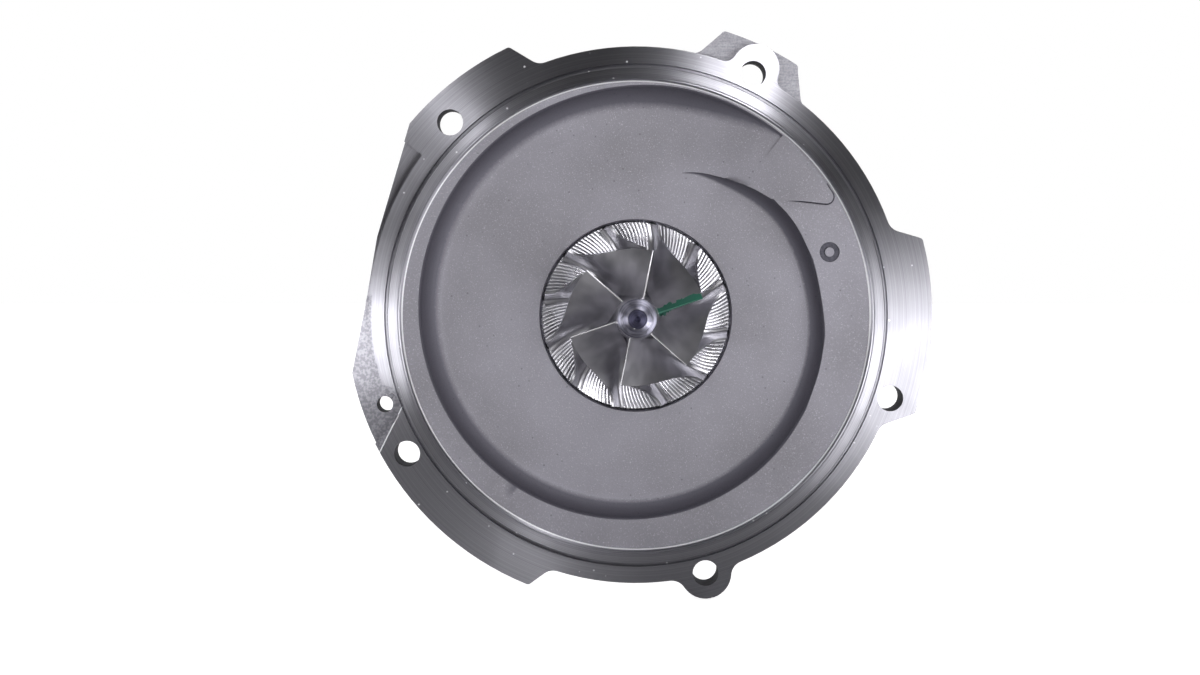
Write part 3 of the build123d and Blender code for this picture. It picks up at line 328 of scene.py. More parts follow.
def millWheelAluminium(name):    # cut by ball-ended mills: soft bands along the flow
    light, dark, roughness, relief = wheelFinishes[name]
    material, tree, place = startMaterial(name)
    bands = addNode(tree, "ShaderNodeTexNoise", {
        "Vector": place, "Scale": 1000 / wheelMarksAndHighlights["bands"], "Detail": 1.5})
    fine = addNode(tree, "ShaderNodeTexNoise", {
        "Vector": place, "Scale": 1000 / wheelMarksAndHighlights["grain"], "Detail": 2.0})
    shade = addNode(tree, "ShaderNodeMapRange", {0: bands, **between(crispNoise)})
    metal = addNode(tree, "ShaderNodeMix", {0: shade, **tones(dark, light)}, data_type="RGBA")
    # Painted highlight: the blades' leading edges are coloured white and made less metallic
    edge = addNode(tree, "ShaderNodeAttribute", attribute_name="edge").outputs["Fac"]
    edgeHighlight = addNode(tree, "ShaderNodeMapRange", {0: edge, **between(wheelMarksAndHighlights["edgeShare"])})
    edged = addNode(tree, "ShaderNodeMix", {
        0: edgeHighlight, colourA: metal, colourB: linearColour(wheelMarksAndHighlights["edge"])}, data_type="RGBA")
    ragged = addNode(tree, "ShaderNodeTexNoise", {
        "Vector": place, "Scale": 1000 / paintDab["ragged"], "Detail": 2.0})
    paint = addNode(tree, "ShaderNodeMix", {
        0: ragged, **tones(paintDab["thin"], paintDab["colour"])}, data_type="RGBA")
    mask = paintStroke(tree, place, ragged)
    colour = addNode(tree, "ShaderNodeMix", {0: mask, colourA: edged, colourB: paint}, data_type="RGBA")
    change = wheelMarksAndHighlights["roughnessChange"]
    milledRough = addNode(tree, "ShaderNodeMapRange", {
        0: bands, **between(softNoise), 3: roughness + change, 4: roughness - change})
    rough = addNode(tree, "ShaderNodeMix", {
        0: mask, 2: milledRough, 3: paintDab["roughness"]}, data_type="FLOAT")
    dull = addNode(tree, "ShaderNodeMath", {
        0: edgeHighlight, 1: wheelMarksAndHighlights["edgeDulling"], 2: mask}, operation="MULTIPLY_ADD", use_clamp=True)
    metallic = addNode(tree, "ShaderNodeMath", {0: 1.0, 1: dull}, operation="SUBTRACT")
    bump = addNode(tree, "ShaderNodeBump", {
        "Strength": relief, "Distance": wheelMarksAndHighlights["reliefDepth"] * mm, "Height": fine})
    return endMaterial(material, tree, addNode(tree, "ShaderNodeBsdfPrincipled", {
        "Base Color": colour, "Metallic": metallic, "Roughness": rough, "Normal": bump}))


# Iron, steel, bronze and rubber

ironFace = {
    "light": "#5E5A57", "dark": "#3F3B39", "grain": 0.9, "relief": 0.4, "reliefDepth": 0.25,
    "rust": "#6A4A36", "cloud": 16, "rustNoise": (0.56, 0.75), "rustShare": 0.45,
    "metallic": 0.35, "roughness": 0.66,
}


def greyCastIron():    # sand-cast iron, lightly oiled: dark brown-grey, rough skin, a breath of rust
    material, tree, place = startMaterial("greyCastIron")
    grain = addNode(tree, "ShaderNodeTexNoise", {
        "Vector": place, "Scale": 1000 / ironFace["grain"], "Detail": 4.0, "Roughness": 0.6})
    cloud = addNode(tree, "ShaderNodeTexNoise", {
        "Vector": place, "Scale": 1000 / ironFace["cloud"], "Detail": 4.0})
    body = addNode(tree, "ShaderNodeMix", {
        0: grain, **tones(ironFace["dark"], ironFace["light"])}, data_type="RGBA")
    bloom = addNode(tree, "ShaderNodeMapRange", {
        0: cloud, **between(ironFace["rustNoise"]), 3: 0.0, 4: ironFace["rustShare"]})
    colour = addNode(tree, "ShaderNodeMix", {
        0: bloom, colourA: body, colourB: linearColour(ironFace["rust"])}, data_type="RGBA")
    bump = addNode(tree, "ShaderNodeBump", {
        "Strength": ironFace["relief"], "Distance": ironFace["reliefDepth"] * mm, "Height": grain})
    return endMaterial(material, tree, addNode(tree, "ShaderNodeBsdfPrincipled", {
        "Base Color": colour, "Metallic": ironFace["metallic"], "Roughness": ironFace["roughness"],
        "Normal": bump}))


metalFinishes = {    # light and dark tone, grain in mm, how much the grain shows, roughness
    "machinedCastIron": ("#8C8A88", "#6B6967", 0.45, 0.20, 0.38),    # faced iron: grey, fine feed marks
    "polishedNutSteel": ("#A6A6B4", "#9292A2", 0.9, 0.01, 0.12),     # cold-formed and tumbled: near mirror
    "groundShaftSteel": ("#B4B4B8", "#8B8B90", 0.3, 0.08, 0.24),     # ground: tight, bright grain
    "zincPlatedSteel": ("#B9BBB7", "#8F9290", 1.2, 0.08, 0.34),      # pale plating with a slight haze
    "stainlessSheet": ("#9B948C", "#6E665F", 1.6, 0.10, 0.36),       # drawn sheet, straw-tinted by heat
    "castNickelAlloy": ("#77716C", "#4E4A47", 0.8, 0.22, 0.46),      # investment-cast: dull, slightly brown
    "leadedBronze": ("#B58A52", "#8A6436", 0.5, 0.08, 0.30),         # turned bearing bronze
    "springSteel": ("#7F7F84", "#5D5D62", 0.5, 0.08, 0.35),          # hardened rings and clips
    "pressedPlugSteel": ("#A9A8A2", "#7D7C77", 1.1, 0.10, 0.40),     # plated, pressed cup
    "shadedDrilledAluminium": ("#504F56", "#3C3B42", 0.4, 0.20, 0.80),     # drill marks, darkened as painted shade in the holes
    "darkenedAluminium": ("#5E5D66", "#46454D", 0.6, 0.15, 0.55),      # darker: painted shadow on the outlet step's slope, and a darker dimple
}
metalWear = {"cloud": 9, "contrast": (0.75, 1.25), "reliefDepth": 0.1, "roughnessChange": (0.06, -0.05)}


def metalFinish(name):    # turned, ground, plated, pressed or cast metals without a pattern of their own
    light, dark, grainSize, relief, roughness = metalFinishes[name]
    material, tree, place = startMaterial(name)
    grain = addNode(tree, "ShaderNodeTexNoise", {
        "Vector": place, "Scale": 1000 / grainSize, "Detail": 3.0})
    cloud = addNode(tree, "ShaderNodeTexNoise", {
        "Vector": place, "Scale": 1000 / metalWear["cloud"], "Detail": 3.0})
    both = addNode(tree, "ShaderNodeMath", {0: grain, 1: cloud}, operation="ADD")
    shade = addNode(tree, "ShaderNodeMapRange", {0: both, **between(metalWear["contrast"])})
    colour = addNode(tree, "ShaderNodeMix", {0: shade, **tones(dark, light)}, data_type="RGBA")
    duller, smoother = metalWear["roughnessChange"]
    rough = addNode(tree, "ShaderNodeMapRange", {
        0: cloud, **between(softNoise), 3: roughness + duller, 4: roughness + smoother})
    bump = addNode(tree, "ShaderNodeBump", {
        "Strength": relief, "Distance": metalWear["reliefDepth"] * mm, "Height": grain})
    return endMaterial(material, tree, addNode(tree, "ShaderNodeBsdfPrincipled", {
        "Base Color": colour, "Metallic": 1.0, "Roughness": rough, "Normal": bump}))


rubberFace = {
    "light": "#26262A", "dark": "#17171A", "grain": 0.6, "roughness": 0.52, "ior": 1.52,
    "relief": 0.1, "reliefDepth": 0.1,
}


def nitrileRubber():    # moulded O-ring rubber: near black, satin
    material, tree, place = startMaterial("nitrileRubber")
    grain = addNode(tree, "ShaderNodeTexNoise", {
        "Vector": place, "Scale": 1000 / rubberFace["grain"], "Detail": 2.0})
    colour = addNode(tree, "ShaderNodeMix", {
        0: grain, **tones(rubberFace["dark"], rubberFace["light"])}, data_type="RGBA")
    bump = addNode(tree, "ShaderNodeBump", {
        "Strength": rubberFace["relief"], "Distance": rubberFace["reliefDepth"] * mm, "Height": grain})
    return endMaterial(material, tree, addNode(tree, "ShaderNodeBsdfPrincipled", {
        "Base Color": colour, "Roughness": rubberFace["roughness"], "IOR": rubberFace["ior"],
        "Normal": bump}))


cast = asCastAluminium()
turned, turnedNut, turnedShaft = [turnedMetal(name) for name in turnedFinishes]
milled = milledAluminium()
bladeMetal, floorMetal = [millWheelAluminium(name) for name in wheelFinishes]
iron = greyCastIron()
metals = {name: metalFinish(name) for name in metalFinishes}
rubber = nitrileRubber()
print("materials made")

# CAD nodes: those that show get a merged copy with smooth curves and a finish for each kind of surface


def linkObject(name, data):
    made = bpy.data.objects.new(name, data)
    scene.collection.objects.link(made)
    return made


def addPiece(name, mesh, body, slot, *nodes):    # the nodes are those that the piece stands for
    piece = linkObject(name, mesh)
    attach(piece, body)
    if nodes:
        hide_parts(*nodes)


def smoothUnder(mesh, degrees):    # edges sharper than this stay crisp
    form = bmesh.new()
    form.from_mesh(mesh)
    for face in form.faces:
        face.smooth = True
    for edge in form.edges:
        edge.smooth = len(edge.link_faces) == 2 and edge.calc_face_angle(0.0) < math.radians(degrees)
    form.to_mesh(mesh)
    form.free()


weldGap = 0.002 * mm    # points of the CAD mesh that are nearer than this become one


def dressNode(node, body, slot, finishes, chooseFinish, degrees=28):    # finishes are chosen by name
    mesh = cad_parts[node].data.copy()
    mesh.name = node + "_finished"
    mesh.materials.clear()
    for finish in finishes.values():
        mesh.materials.append(finish)
    names = list(finishes)
    form = bmesh.new()
    form.from_mesh(mesh)
    bmesh.ops.remove_doubles(form, verts=form.verts, dist=weldGap)
    for face in form.faces:
        face.material_index = names.index(chooseFinish(face.calc_center_median() / mm, face.normal))
    form.to_mesh(mesh)
    form.free()
    smoothUnder(mesh, degrees)
    addPiece(mesh.name, mesh, body, slot, node)


plateZones = {    # the radii, heights, angles and places that bound each finish of the plate
    "pocketRadius": 26.2, "pocketHeight": -5.4,    # turned behind the compressor wheel
    "seatRadius": 47.2, "seatHeight": -15.8,       # and where the bearing housing sits
    "ledgeRadius": 66, "ledgeHeights": (-2.9, -2.3), "milledLedge": (47, 82),    # elsewhere it is turned
    "ringRadius": 62.85, "ringHeight": -1, "rimRadius": 68.1, "castRadius": 63.5, "castHeight": 0.9,
    "dimple": (52.1, 17.3), "dimpleRadius": 2.72, "dimpleHeights": (0.2, 0.75),
    "stepRadius": 62.6, "stepHeights": (0.85, 1.75), "stepPast": 20, "stepBelow": 36,    # at the outlet
    "holeCircle": 72.3, "holeRadius": 3.6, "holesPast": 68,
    "holeAngles": (64.3, 133.8, 199.4, 211.0, 285.2, 342.1),
}


def inHole(centre):
    places = [math.radians(angle) for angle in plateZones["holeAngles"]]
    circle = plateZones["holeCircle"]
    return min(math.hypot(centre.x - circle * math.cos(place), centre.z - circle * math.sin(place))
               for place in places) < plateZones["holeRadius"]


def plateFinish(centre, normal):
    radius = math.hypot(centre.x, centre.z)
    angle = math.degrees(math.atan2(centre.z, centre.x))
    height = -centre.y
    facesFront, flatFront = normal.y < -0.3, normal.y < -0.99
    wall, slope = abs(normal.y) < 0.2, -0.93 < normal.y < 0.1
    if radius < plateZones["pocketRadius"] and height < plateZones["pocketHeight"]:
        return "turned"
    if radius < plateZones["seatRadius"] and height < plateZones["seatHeight"]:
        return "turned"
    low, high = plateZones["ledgeHeights"]
    if low < height < high and facesFront and radius > plateZones["ledgeRadius"]:
        first, last = plateZones["milledLedge"]
        return "milled" if first < angle < last else "turned"
    # The dimple is coloured darker
    low, high = plateZones["dimpleHeights"]
    dimpleX, dimpleZ = plateZones["dimple"]
    fromDimple = math.hypot(centre.x - dimpleX, centre.z - dimpleZ)
    if low < height < high and fromDimple < plateZones["dimpleRadius"]:
        return "darkened"
    # Painted shadow: the sloping faces of the outlet step are darkened
    low, high = plateZones["stepHeights"]
    byOutlet = centre.x > plateZones["stepPast"] and centre.z < plateZones["stepBelow"]
    if low < height < high and slope and byOutlet and radius < plateZones["stepRadius"]:
        return "darkened"
    onRing = radius > plateZones["ringRadius"] and height > plateZones["ringHeight"]
    if onRing and (facesFront or radius < plateZones["rimRadius"]):
        onLand = height < plateZones["castHeight"] and radius < plateZones["castRadius"]
        return "cast" if onLand and flatFront else "turned"
    # Hole walls get painted shade
    if wall and radius > plateZones["holesPast"] and inHole(centre):
        return "drilled"
    return "cast"


housingZones = {    # the machined places, along the shaft and round it or round a port
    "plateSeat": 24.2, "plateSeatRadius": 46, "turbineSeat": (60.4, 60.6), "turbineSeatRadius": 40,
    "rearFace": 66.9, "bore": 11.6, "frontBore": 19.3, "frontBoreEnd": 20.5,
    "waterPort": 50, "waterRadius": 6.3, "waterFace": 40.9,
    "oilPort": 39.5, "oilRadius": 5.5, "oilFaces": 35.9, "portsPast": 20,
}


def housingFinish(centre, normal):
    radius = math.hypot(centre.x, centre.z)
    flat, beforeSeat = abs(normal.y) > 0.95, centre.y < housingZones["plateSeat"]
    turbineStart, turbineEnd = housingZones["turbineSeat"]
    onSeat = turbineStart < centre.y < turbineEnd
    faced = flat and (beforeSeat or onSeat or centre.y > housingZones["rearFace"])
    rim = radius > housingZones["turbineSeatRadius"] and centre.y > turbineStart
    front = radius > housingZones["plateSeatRadius"] and beforeSeat
    frontBore = radius < housingZones["frontBore"] and centre.y < housingZones["frontBoreEnd"]
    portFace = abs(centre.x) > housingZones["waterFace"] or abs(centre.z) > housingZones["oilFaces"]
    waterBore = math.hypot(centre.y - housingZones["waterPort"], centre.z) < housingZones["waterRadius"]
    water = waterBore and abs(centre.x) > housingZones["portsPast"]
    oilBore = math.hypot(centre.x, centre.y - housingZones["oilPort"]) < housingZones["oilRadius"]
    oil = oilBore and centre.z > housingZones["portsPast"]
    bored = radius < housingZones["bore"] or frontBore or water or oil
    return "machined" if faced or rim or front or portFace or bored else "cast"


def onlyFinish(centre, normal):
    return "only"


def turnedFront(centre, normal):
    return "turned" if normal.y < -0.4 else "polished"


dressNode("compressor_back_plate", "housing", "cast_plate", {
    "cast": cast, "turned": turned, "milled": milled, "darkened": metals["darkenedAluminium"],
    "drilled": metals["shadedDrilledAluminium"]}, plateFinish)
dressNode("bearing_housing", "housing", "housing_iron", {
    "cast": iron, "machined": metals["machinedCastIron"]}, housingFinish)
dressNode("shaft_lock_nut", "rotor", "nut_steel", {
    "polished": metals["polishedNutSteel"], "turned": turnedNut}, turnedFront)
dressNode("rotor_shaft", "rotor", "shaft_steel", {
    "polished": metals["groundShaftSteel"], "turned": turnedShaft}, turnedFront)
dressNode("turbine_wheel", "rotor", "turbine_alloy", {
    "only": metals["castNickelAlloy"]}, onlyFinish, degrees=40)
dressNode("heat_shield", "housing", "shield_sheet", {"only": metals["stainlessSheet"]}, onlyFinish)
dressNode("back_plate_bolts", "housing", "zinc_bolts", {"only": metals["zincPlatedSteel"]}, onlyFinish)
dressNode("jacket_core_plug", "housing", "plug_steel", {"only": metals["pressedPlugSteel"]}, onlyFinish)

hiddenNodes = [    # a finish, and the nodes inside the assembly that have it
    (rubber, "back_plate_o_ring"),
    (metals["stainlessSheet"], "oil_deflector"),
    (metals["leadedBronze"], "thrust_bearing", "front_journal_bearing", "rear_journal_bearing"),
    (metals["groundShaftSteel"], "thrust_collar", "seal_sleeve"),
    (metals["springSteel"], "back_plate_dowel", "turbine_housing_dowel", "thrust_bearing_screws",
     "compressor_seal_ring", "turbine_seal_rings", "front_bearing_circlips", "rear_bearing_circlips"),
]
for finish, *nodes in hiddenNodes:
    for node in nodes:
        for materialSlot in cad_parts[node].material_slots:
            materialSlot.material = finish
print("CAD nodes finished")

# Compressor wheel: a hub whose floor keeps the cutter's scallops, and blades set round it

wheel = {
    "radius": 25.4, "back": -7.4, "rim": 1.7, "tipWidth": 3.5, "rootRadius": 5.8, "bore": 3.02,
    "inducerRadius": 18.2, "inducerHeight": 12.6, "noseHeight": 16.6, "noseRadius": 5.2, "noseChamfer": 0.4,
    "hubBend": (0.26, 0.32), "shroudBend": 0.35,    # where the middle points of both curves lie
}
blade = {
    "count": 6, "firstAngle": 16.5, "wrap": 59.2, "edgeLean": 4.8, "edgeShare": 0.3,
    "hubSweep": (0.9, 4.5, 0.18, 4), "shroudSweep": 1.6,    # how early each edge takes its turn
    "rootThickness": 1.1, "tipThickness": 0.6, "rootSink": 0.5, "noseLength": 0.3,
    "startThickness": 0.55, "thickening": 3,
    "fillet": 0.9, "filletHeight": 0.45, "filletStart": 0.1, "filletGrowth": 12,
    "levels": (0, 0.06, 0.12, 0.2, 0.3, 0.45, 0.6, 0.8, 1.0),    # from root to tip, closer in the fillet
}
bladeRings = {    # where the blades start along the flow, their steps, and their turn from the long ones
    "long_blades": (0.0, 30, 0),
    "short_blades": (0.42, 20, 180 / blade["count"]),
}
scallops = {    # one for each pass of the ball-ended mill
    "count": 156, "depth": 0.18, "start": 0.22, "fade": 0.3, "steps": 6, "rows": 40,
}


def bezierPoint(points, share):
    left = 1 - share
    weights = (left ** 3, 3 * left ** 2 * share, 3 * left * share ** 2, share ** 3)
    return sum(weight * np.asarray(point)[:, None] for weight, point in zip(weights, points))


def wheelCurves():    # radius and height of the hub's and the shroud's control points
    rim = wheel["rim"] + wheel["back"]
    tip = rim + wheel["tipWidth"]
    root, inducer, top = wheel["rootRadius"], wheel["inducerRadius"], wheel["inducerHeight"]
    upBend, outBend = wheel["hubBend"]
    hub = ((root, top), (root, rim + upBend * (top - rim)),
           (root + outBend * (wheel["radius"] - root), rim), (wheel["radius"], rim))
    shroud = ((inducer, top), (inducer, tip + wheel["shroudBend"] * (top - tip)),
              (inducer, tip), (wheel["radius"], tip))
    return hub, shroud


def hubTurn(share):
    early, earlyPower, late, latePower = blade["hubSweep"]
    lag = blade["edgeLean"] * np.maximum(1 - share / blade["edgeShare"], 0)
    return blade["wrap"] * (early * (1 - (1 - share) ** earlyPower) + late * share ** latePower) - lag


def shroudTurn(share):
    return blade["wrap"] * (1 - (1 - share) ** blade["shroudSweep"])


def aroundShaft(radius, angle, height):    # angles run anticlockwise as the camera sees them
    turn = np.radians(angle)
    return np.stack([radius * np.cos(turn), -height + 0 * turn, radius * np.sin(turn)], axis=-1) * mm


def hubMesh():
    hub, _ = wheelCurves()
    share = np.linspace(0, 1, scallops["rows"])
    radii, heights = bezierPoint(hub, share)
    columns = scallops["count"] * scallops["steps"]
    base = np.arange(columns) * 360 / columns
    phase = (np.arange(columns) % scallops["steps"]) / scallops["steps"]
    hollow = 1 - (2 * phase - 1) ** 2
    fade = np.clip((share - scallops["start"]) / scallops["fade"], 0, 1)
    rise = np.gradient(heights, share)
    slope = rise / np.hypot(np.gradient(radii, share), rise)
    rows = []
    for part, radius, height, keep, lean in zip(share, radii, heights, fade, slope):
        sink = scallops["depth"] * keep * hollow
        drop = np.sqrt(1 - lean ** 2) * sink
        rows.append(aroundShaft(radius + lean * sink, base + hubTurn(part), height - drop))
    last = base + hubTurn(1.0)
    nose, noseTop, chamfer = wheel["noseRadius"], wheel["noseHeight"], wheel["noseChamfer"]
    rims = [(wheel["radius"], wheel["back"]), (wheel["bore"], wheel["back"]), (wheel["bore"], noseTop),
            (nose - chamfer, noseTop), (nose, noseTop - chamfer)]
    for number, (radius, height) in enumerate(rims, start=1):    # the columns untwist on the way to the nose
        back = number / (len(rims) + 1)
        turn = last * (1 - back) + base * back
        rows.append(aroundShaft(radius + 0 * turn, turn, height))
    points = np.concatenate(rows)
    count = len(rows)
    row, column = np.meshgrid(np.arange(count), np.arange(columns), indexing="ij")
    nextRow, nextColumn = (row + 1) % count, (column + 1) % columns
    faces = np.stack([row * columns + column, nextRow * columns + column,
                      nextRow * columns + nextColumn, row * columns + nextColumn], axis=-1).reshape(-1, 4)
    return points, faces


def bladeMesh(startShare, steps):    # a skin between the hub and the shroud with its two sides and a nose
    hub, shroud = wheelCurves()
    share = np.linspace(startShare, 1, steps)
    hubRadius, hubHeight = bezierPoint(hub, share)
    shroudRadius, shroudHeight = bezierPoint(shroud, share)
    low = aroundShaft(hubRadius, hubTurn(share), hubHeight)
    high = aroundShaft(shroudRadius, shroudTurn(share), shroudHeight)
    across = high - low
    length = np.linalg.norm(across, axis=1, keepdims=True)
    low = low - across / length * blade["rootSink"] * mm
    across = high - low
    levels = np.array(blade["levels"])
    middle = low[:, None] + across[:, None] * levels[None, :, None]
    flow = np.gradient(middle, axis=0)
    side = np.cross(across[:, None] + 0 * flow, flow)
    side /= np.linalg.norm(side, axis=2, keepdims=True)
    above = levels[None, :] * np.linalg.norm(across, axis=1)[:, None] / mm - blade["rootSink"]
    thinning = blade["tipThickness"] - blade["rootThickness"]
    started = (share - startShare)[:, None]
    thick = blade["rootThickness"] + thinning * levels[None, :] + 0 * above
    thick = thick * np.minimum(1, blade["startThickness"] + blade["thickening"] * started)
    spread = np.exp(-np.maximum(above, 0) / blade["filletHeight"])
    grown = np.clip(started * blade["filletGrowth"], blade["filletStart"], 1)
    thick += 2 * blade["fillet"] * spread * grown
    half = side * thick[..., None] * 0.5 * mm
    ahead = flow[0] / np.linalg.norm(flow[0], axis=1, keepdims=True)
    nose = middle[0] - ahead * thick[0][:, None] * blade["noseLength"] * mm
    points = np.concatenate([(middle + half).reshape(-1, 3), (middle - half).reshape(-1, 3), nose])
    # The nose points carry the painted highlight of the leading edge
    bright = np.zeros(len(points))
    bright[-len(levels):] = 1
    end, tip = steps - 1, len(levels) - 1
    left = np.arange(steps * len(levels)).reshape(steps, len(levels))    # numbers of one side's points
    right = left + left.size
    front = 2 * left.size + np.arange(len(levels))
    faces = []
    for i in range(end):
        for j in range(tip):
            faces.append((left[i, j], left[i + 1, j], left[i + 1, j + 1], left[i, j + 1]))
            faces.append((right[i, j], right[i, j + 1], right[i + 1, j + 1], right[i + 1, j]))
        faces.append((left[i, tip], left[i + 1, tip], right[i + 1, tip], right[i, tip]))
        faces.append((left[i + 1, 0], left[i, 0], right[i, 0], right[i + 1, 0]))
    for j in range(tip):
        faces.append((left[0, j], left[0, j + 1], front[j + 1], front[j]))
        faces.append((front[j], front[j + 1], right[0, j + 1], right[0, j]))
        faces.append((left[end, j + 1], left[end, j], right[end, j], right[end, j + 1]))
    faces.append((left[0, tip], right[0, tip], front[tip]))
    faces.append((left[0, 0], front[0], right[0, 0]))
    return points, faces, bright


def meshFrom(name, points, faces, finish, degrees):
    mesh = bpy.data.meshes.new(name)
    mesh.from_pydata([tuple(point) for point in points], [], [tuple(int(i) for i in face) for face in faces])
    mesh.materials.append(finish)
    form = bmesh.new()
    form.from_mesh(mesh)
    bmesh.ops.recalc_face_normals(form, faces=form.faces)
    form.to_mesh(mesh)
    form.free()
    smoothUnder(mesh, degrees)
    return mesh


def startTree(name, sizes):
    tree = bpy.data.node_groups.new(name, "GeometryNodeTree")
    tree.interface.new_socket("Geometry", in_out="INPUT", socket_type="NodeSocketGeometry")
    for label, kind in sizes:
        tree.interface.new_socket(label, in_out="INPUT", socket_type=kind)
    tree.interface.new_socket("Geometry", in_out="OUTPUT", socket_type="NodeSocketGeometry")
    return tree, addNode(tree, "NodeGroupInput").outputs


def endTree(tree, geometry, finish):
    real = addNode(tree, "GeometryNodeRealizeInstances", {0: geometry})
    finished = addNode(tree, "GeometryNodeSetMaterial", {"Geometry": real, "Material": finish})
    addNode(tree, "NodeGroupOutput", {0: finished})


def grownMesh(name, tree, sizes, start=None):    # runs the tree and keeps the plain mesh that it makes
    holder = linkObject(name, start or bpy.data.meshes.new(name))
    modifier = holder.modifiers.new("nodes", "NODES")
    modifier.node_group = tree
    sockets = {item.name: item.identifier for item in tree.interface.items_tree if item.in_out == "INPUT"}
    for label, value in sizes.items():
        modifier[sockets[label]] = value
    evaluated = holder.evaluated_get(bpy.context.evaluated_depsgraph_get())
    mesh = bpy.data.meshes.new_from_object(evaluated)
    holder.modifiers.remove(modifier)
    bpy.data.objects.remove(holder)
    mesh.name = name
    return mesh


def bladeRingTree():    # turns copies of one blade about the shaft
    tree, given = startTree("bladeRing", [("Count", "NodeSocketInt"), ("First Angle", "NodeSocketFloat")])
    line = addNode(tree, "GeometryNodeMeshLine", {"Count": given["Count"], "Offset": (0, 0, 0)})
    number = addNode(tree, "GeometryNodeInputIndex")
    step = addNode(tree, "ShaderNodeMath", {0: 2 * math.pi, 1: given["Count"]}, operation="DIVIDE")
    turn = addNode(tree, "ShaderNodeMath", {
        0: number, 1: step, 2: given["First Angle"]}, operation="MULTIPLY_ADD")
    down = addNode(tree, "ShaderNodeMath", {0: turn, 1: -1.0}, operation="MULTIPLY")
    rotation = addNode(tree, "ShaderNodeCombineXYZ", {"Y": down})
    copies = addNode(tree, "GeometryNodeInstanceOnPoints", {
        "Points": line, "Instance": given["Geometry"], "Rotation": rotation})
    endTree(tree, copies, bladeMetal)
    return tree


hubPoints, hubFaces = hubMesh()
hub = meshFrom("wheel_hub", hubPoints, hubFaces, floorMetal, degrees=60)
addPiece("wheel_hub", hub, "rotor", "wheel_aluminium", "compressor_wheel")
bladeTree = bladeRingTree()
for name, (startShare, steps, extra) in bladeRings.items():
    points, faces, bright = bladeMesh(startShare, steps)
    single = meshFrom(name + "_single", points, faces, bladeMetal, degrees=42)
    single.attributes.new("edge", "FLOAT", "POINT").data.foreach_set("value", bright)
    ring = grownMesh(name, bladeTree, {
        "Count": blade["count"], "First Angle": math.radians(blade["firstAngle"] + extra)}, single)
    addPiece(name, ring, "rotor", "wheel_aluminium", "compressor_wheel")
print("compressor wheel made")

# Threads in the bearing housing's ports, cut as helices

threads = {    # the bore's radius, turns, where each starts, and its turn in degrees about X, Y and Z
    "oil_inlet_thread": (5.33, 6.4, (0, 39.5, 25.8), (0, 0, 0)),
    "left_port_thread": (6.08, 8.2, (-40.4, 50, 0), (0, 90, 0)),
    "right_port_thread": (6.08, 8.2, (28.1, 50, 0), (0, 90, 0)),
}
threadCut = {"pitch": 1.5, "ridge": 0.34, "steps": 40}    # the ridge is half its width against the pitch


def threadTree():
    tree, given = startTree("cutThread", [
        ("Radius", "NodeSocketFloat"), ("Pitch", "NodeSocketFloat"), ("Turns", "NodeSocketFloat"),
        ("Start", "NodeSocketVector"), ("Turn", "NodeSocketVector")])
    height = addNode(tree, "ShaderNodeMath", {0: given["Pitch"], 1: given["Turns"]}, operation="MULTIPLY")
    helix = addNode(tree, "GeometryNodeCurveSpiral", {
        "Resolution": threadCut["steps"], "Rotations": given["Turns"], "Start Radius": given["Radius"],
        "End Radius": given["Radius"], "Height": height})
    width = addNode(tree, "ShaderNodeMath", {0: given["Pitch"], 1: threadCut["ridge"]}, operation="MULTIPLY")
    section = addNode(tree, "GeometryNodeCurvePrimitiveCircle", {"Resolution": 4, "Radius": width})
    ridge = addNode(tree, "GeometryNodeCurveToMesh", {
        "Curve": helix, "Profile Curve": section, "Fill Caps": True})
    inPlace = addNode(tree, "GeometryNodeTransform", {
        "Geometry": ridge, "Translation": given["Start"], "Rotation": given["Turn"]})
    endTree(tree, inPlace, metals["machinedCastIron"])
    return tree


helixTree = threadTree()
pitch = threadCut["pitch"]
for name, (radius, turns, start, turn) in threads.items():
    ridge = grownMesh(name, helixTree, {
        "Radius": (radius - threadCut["ridge"] * pitch) * mm, "Pitch": pitch * mm, "Turns": turns,
        "Start": [along * mm for along in start], "Turn": [math.radians(angle) for angle in turn]})
    addPiece(name, ridge, "housing", "housing_iron")
print("threads cut")

# Studio: pale floor, white backdrop, softboxes in front of the compressor end

studio = {
    "floorColour": "#C6C6C6", "floorRoughness": 0.9, "floorIor": 1.45,
    "floorSize": 6000, "floorDrop": 0.6,    # below the object's lowest point
    "floorFront": -120,    # the paper ends just in front of the object, so the low lamp shines past it
    "floorGlow": 0.9, "glowFade": 20, "grain": 10 / 3, "relief": 0.02, "reliefDepth": 0.2,
    "frontGrey": 0.08, "backWhite": 1.0, "backFade": 0.25,    # the world's strength on either side
}
softboxes = {    # direction round the shaft and away from it, distance, width, length, watts
    "upperRight": (63, 38, 900, 170, 600, 2.6),
    "upperLeft": (133, 38, 900, 100, 550, 0.5),
    "left": (188, 38, 900, 190, 600, 2.4),
    "right": (338, 38, 900, 460, 600, 5.0),
}


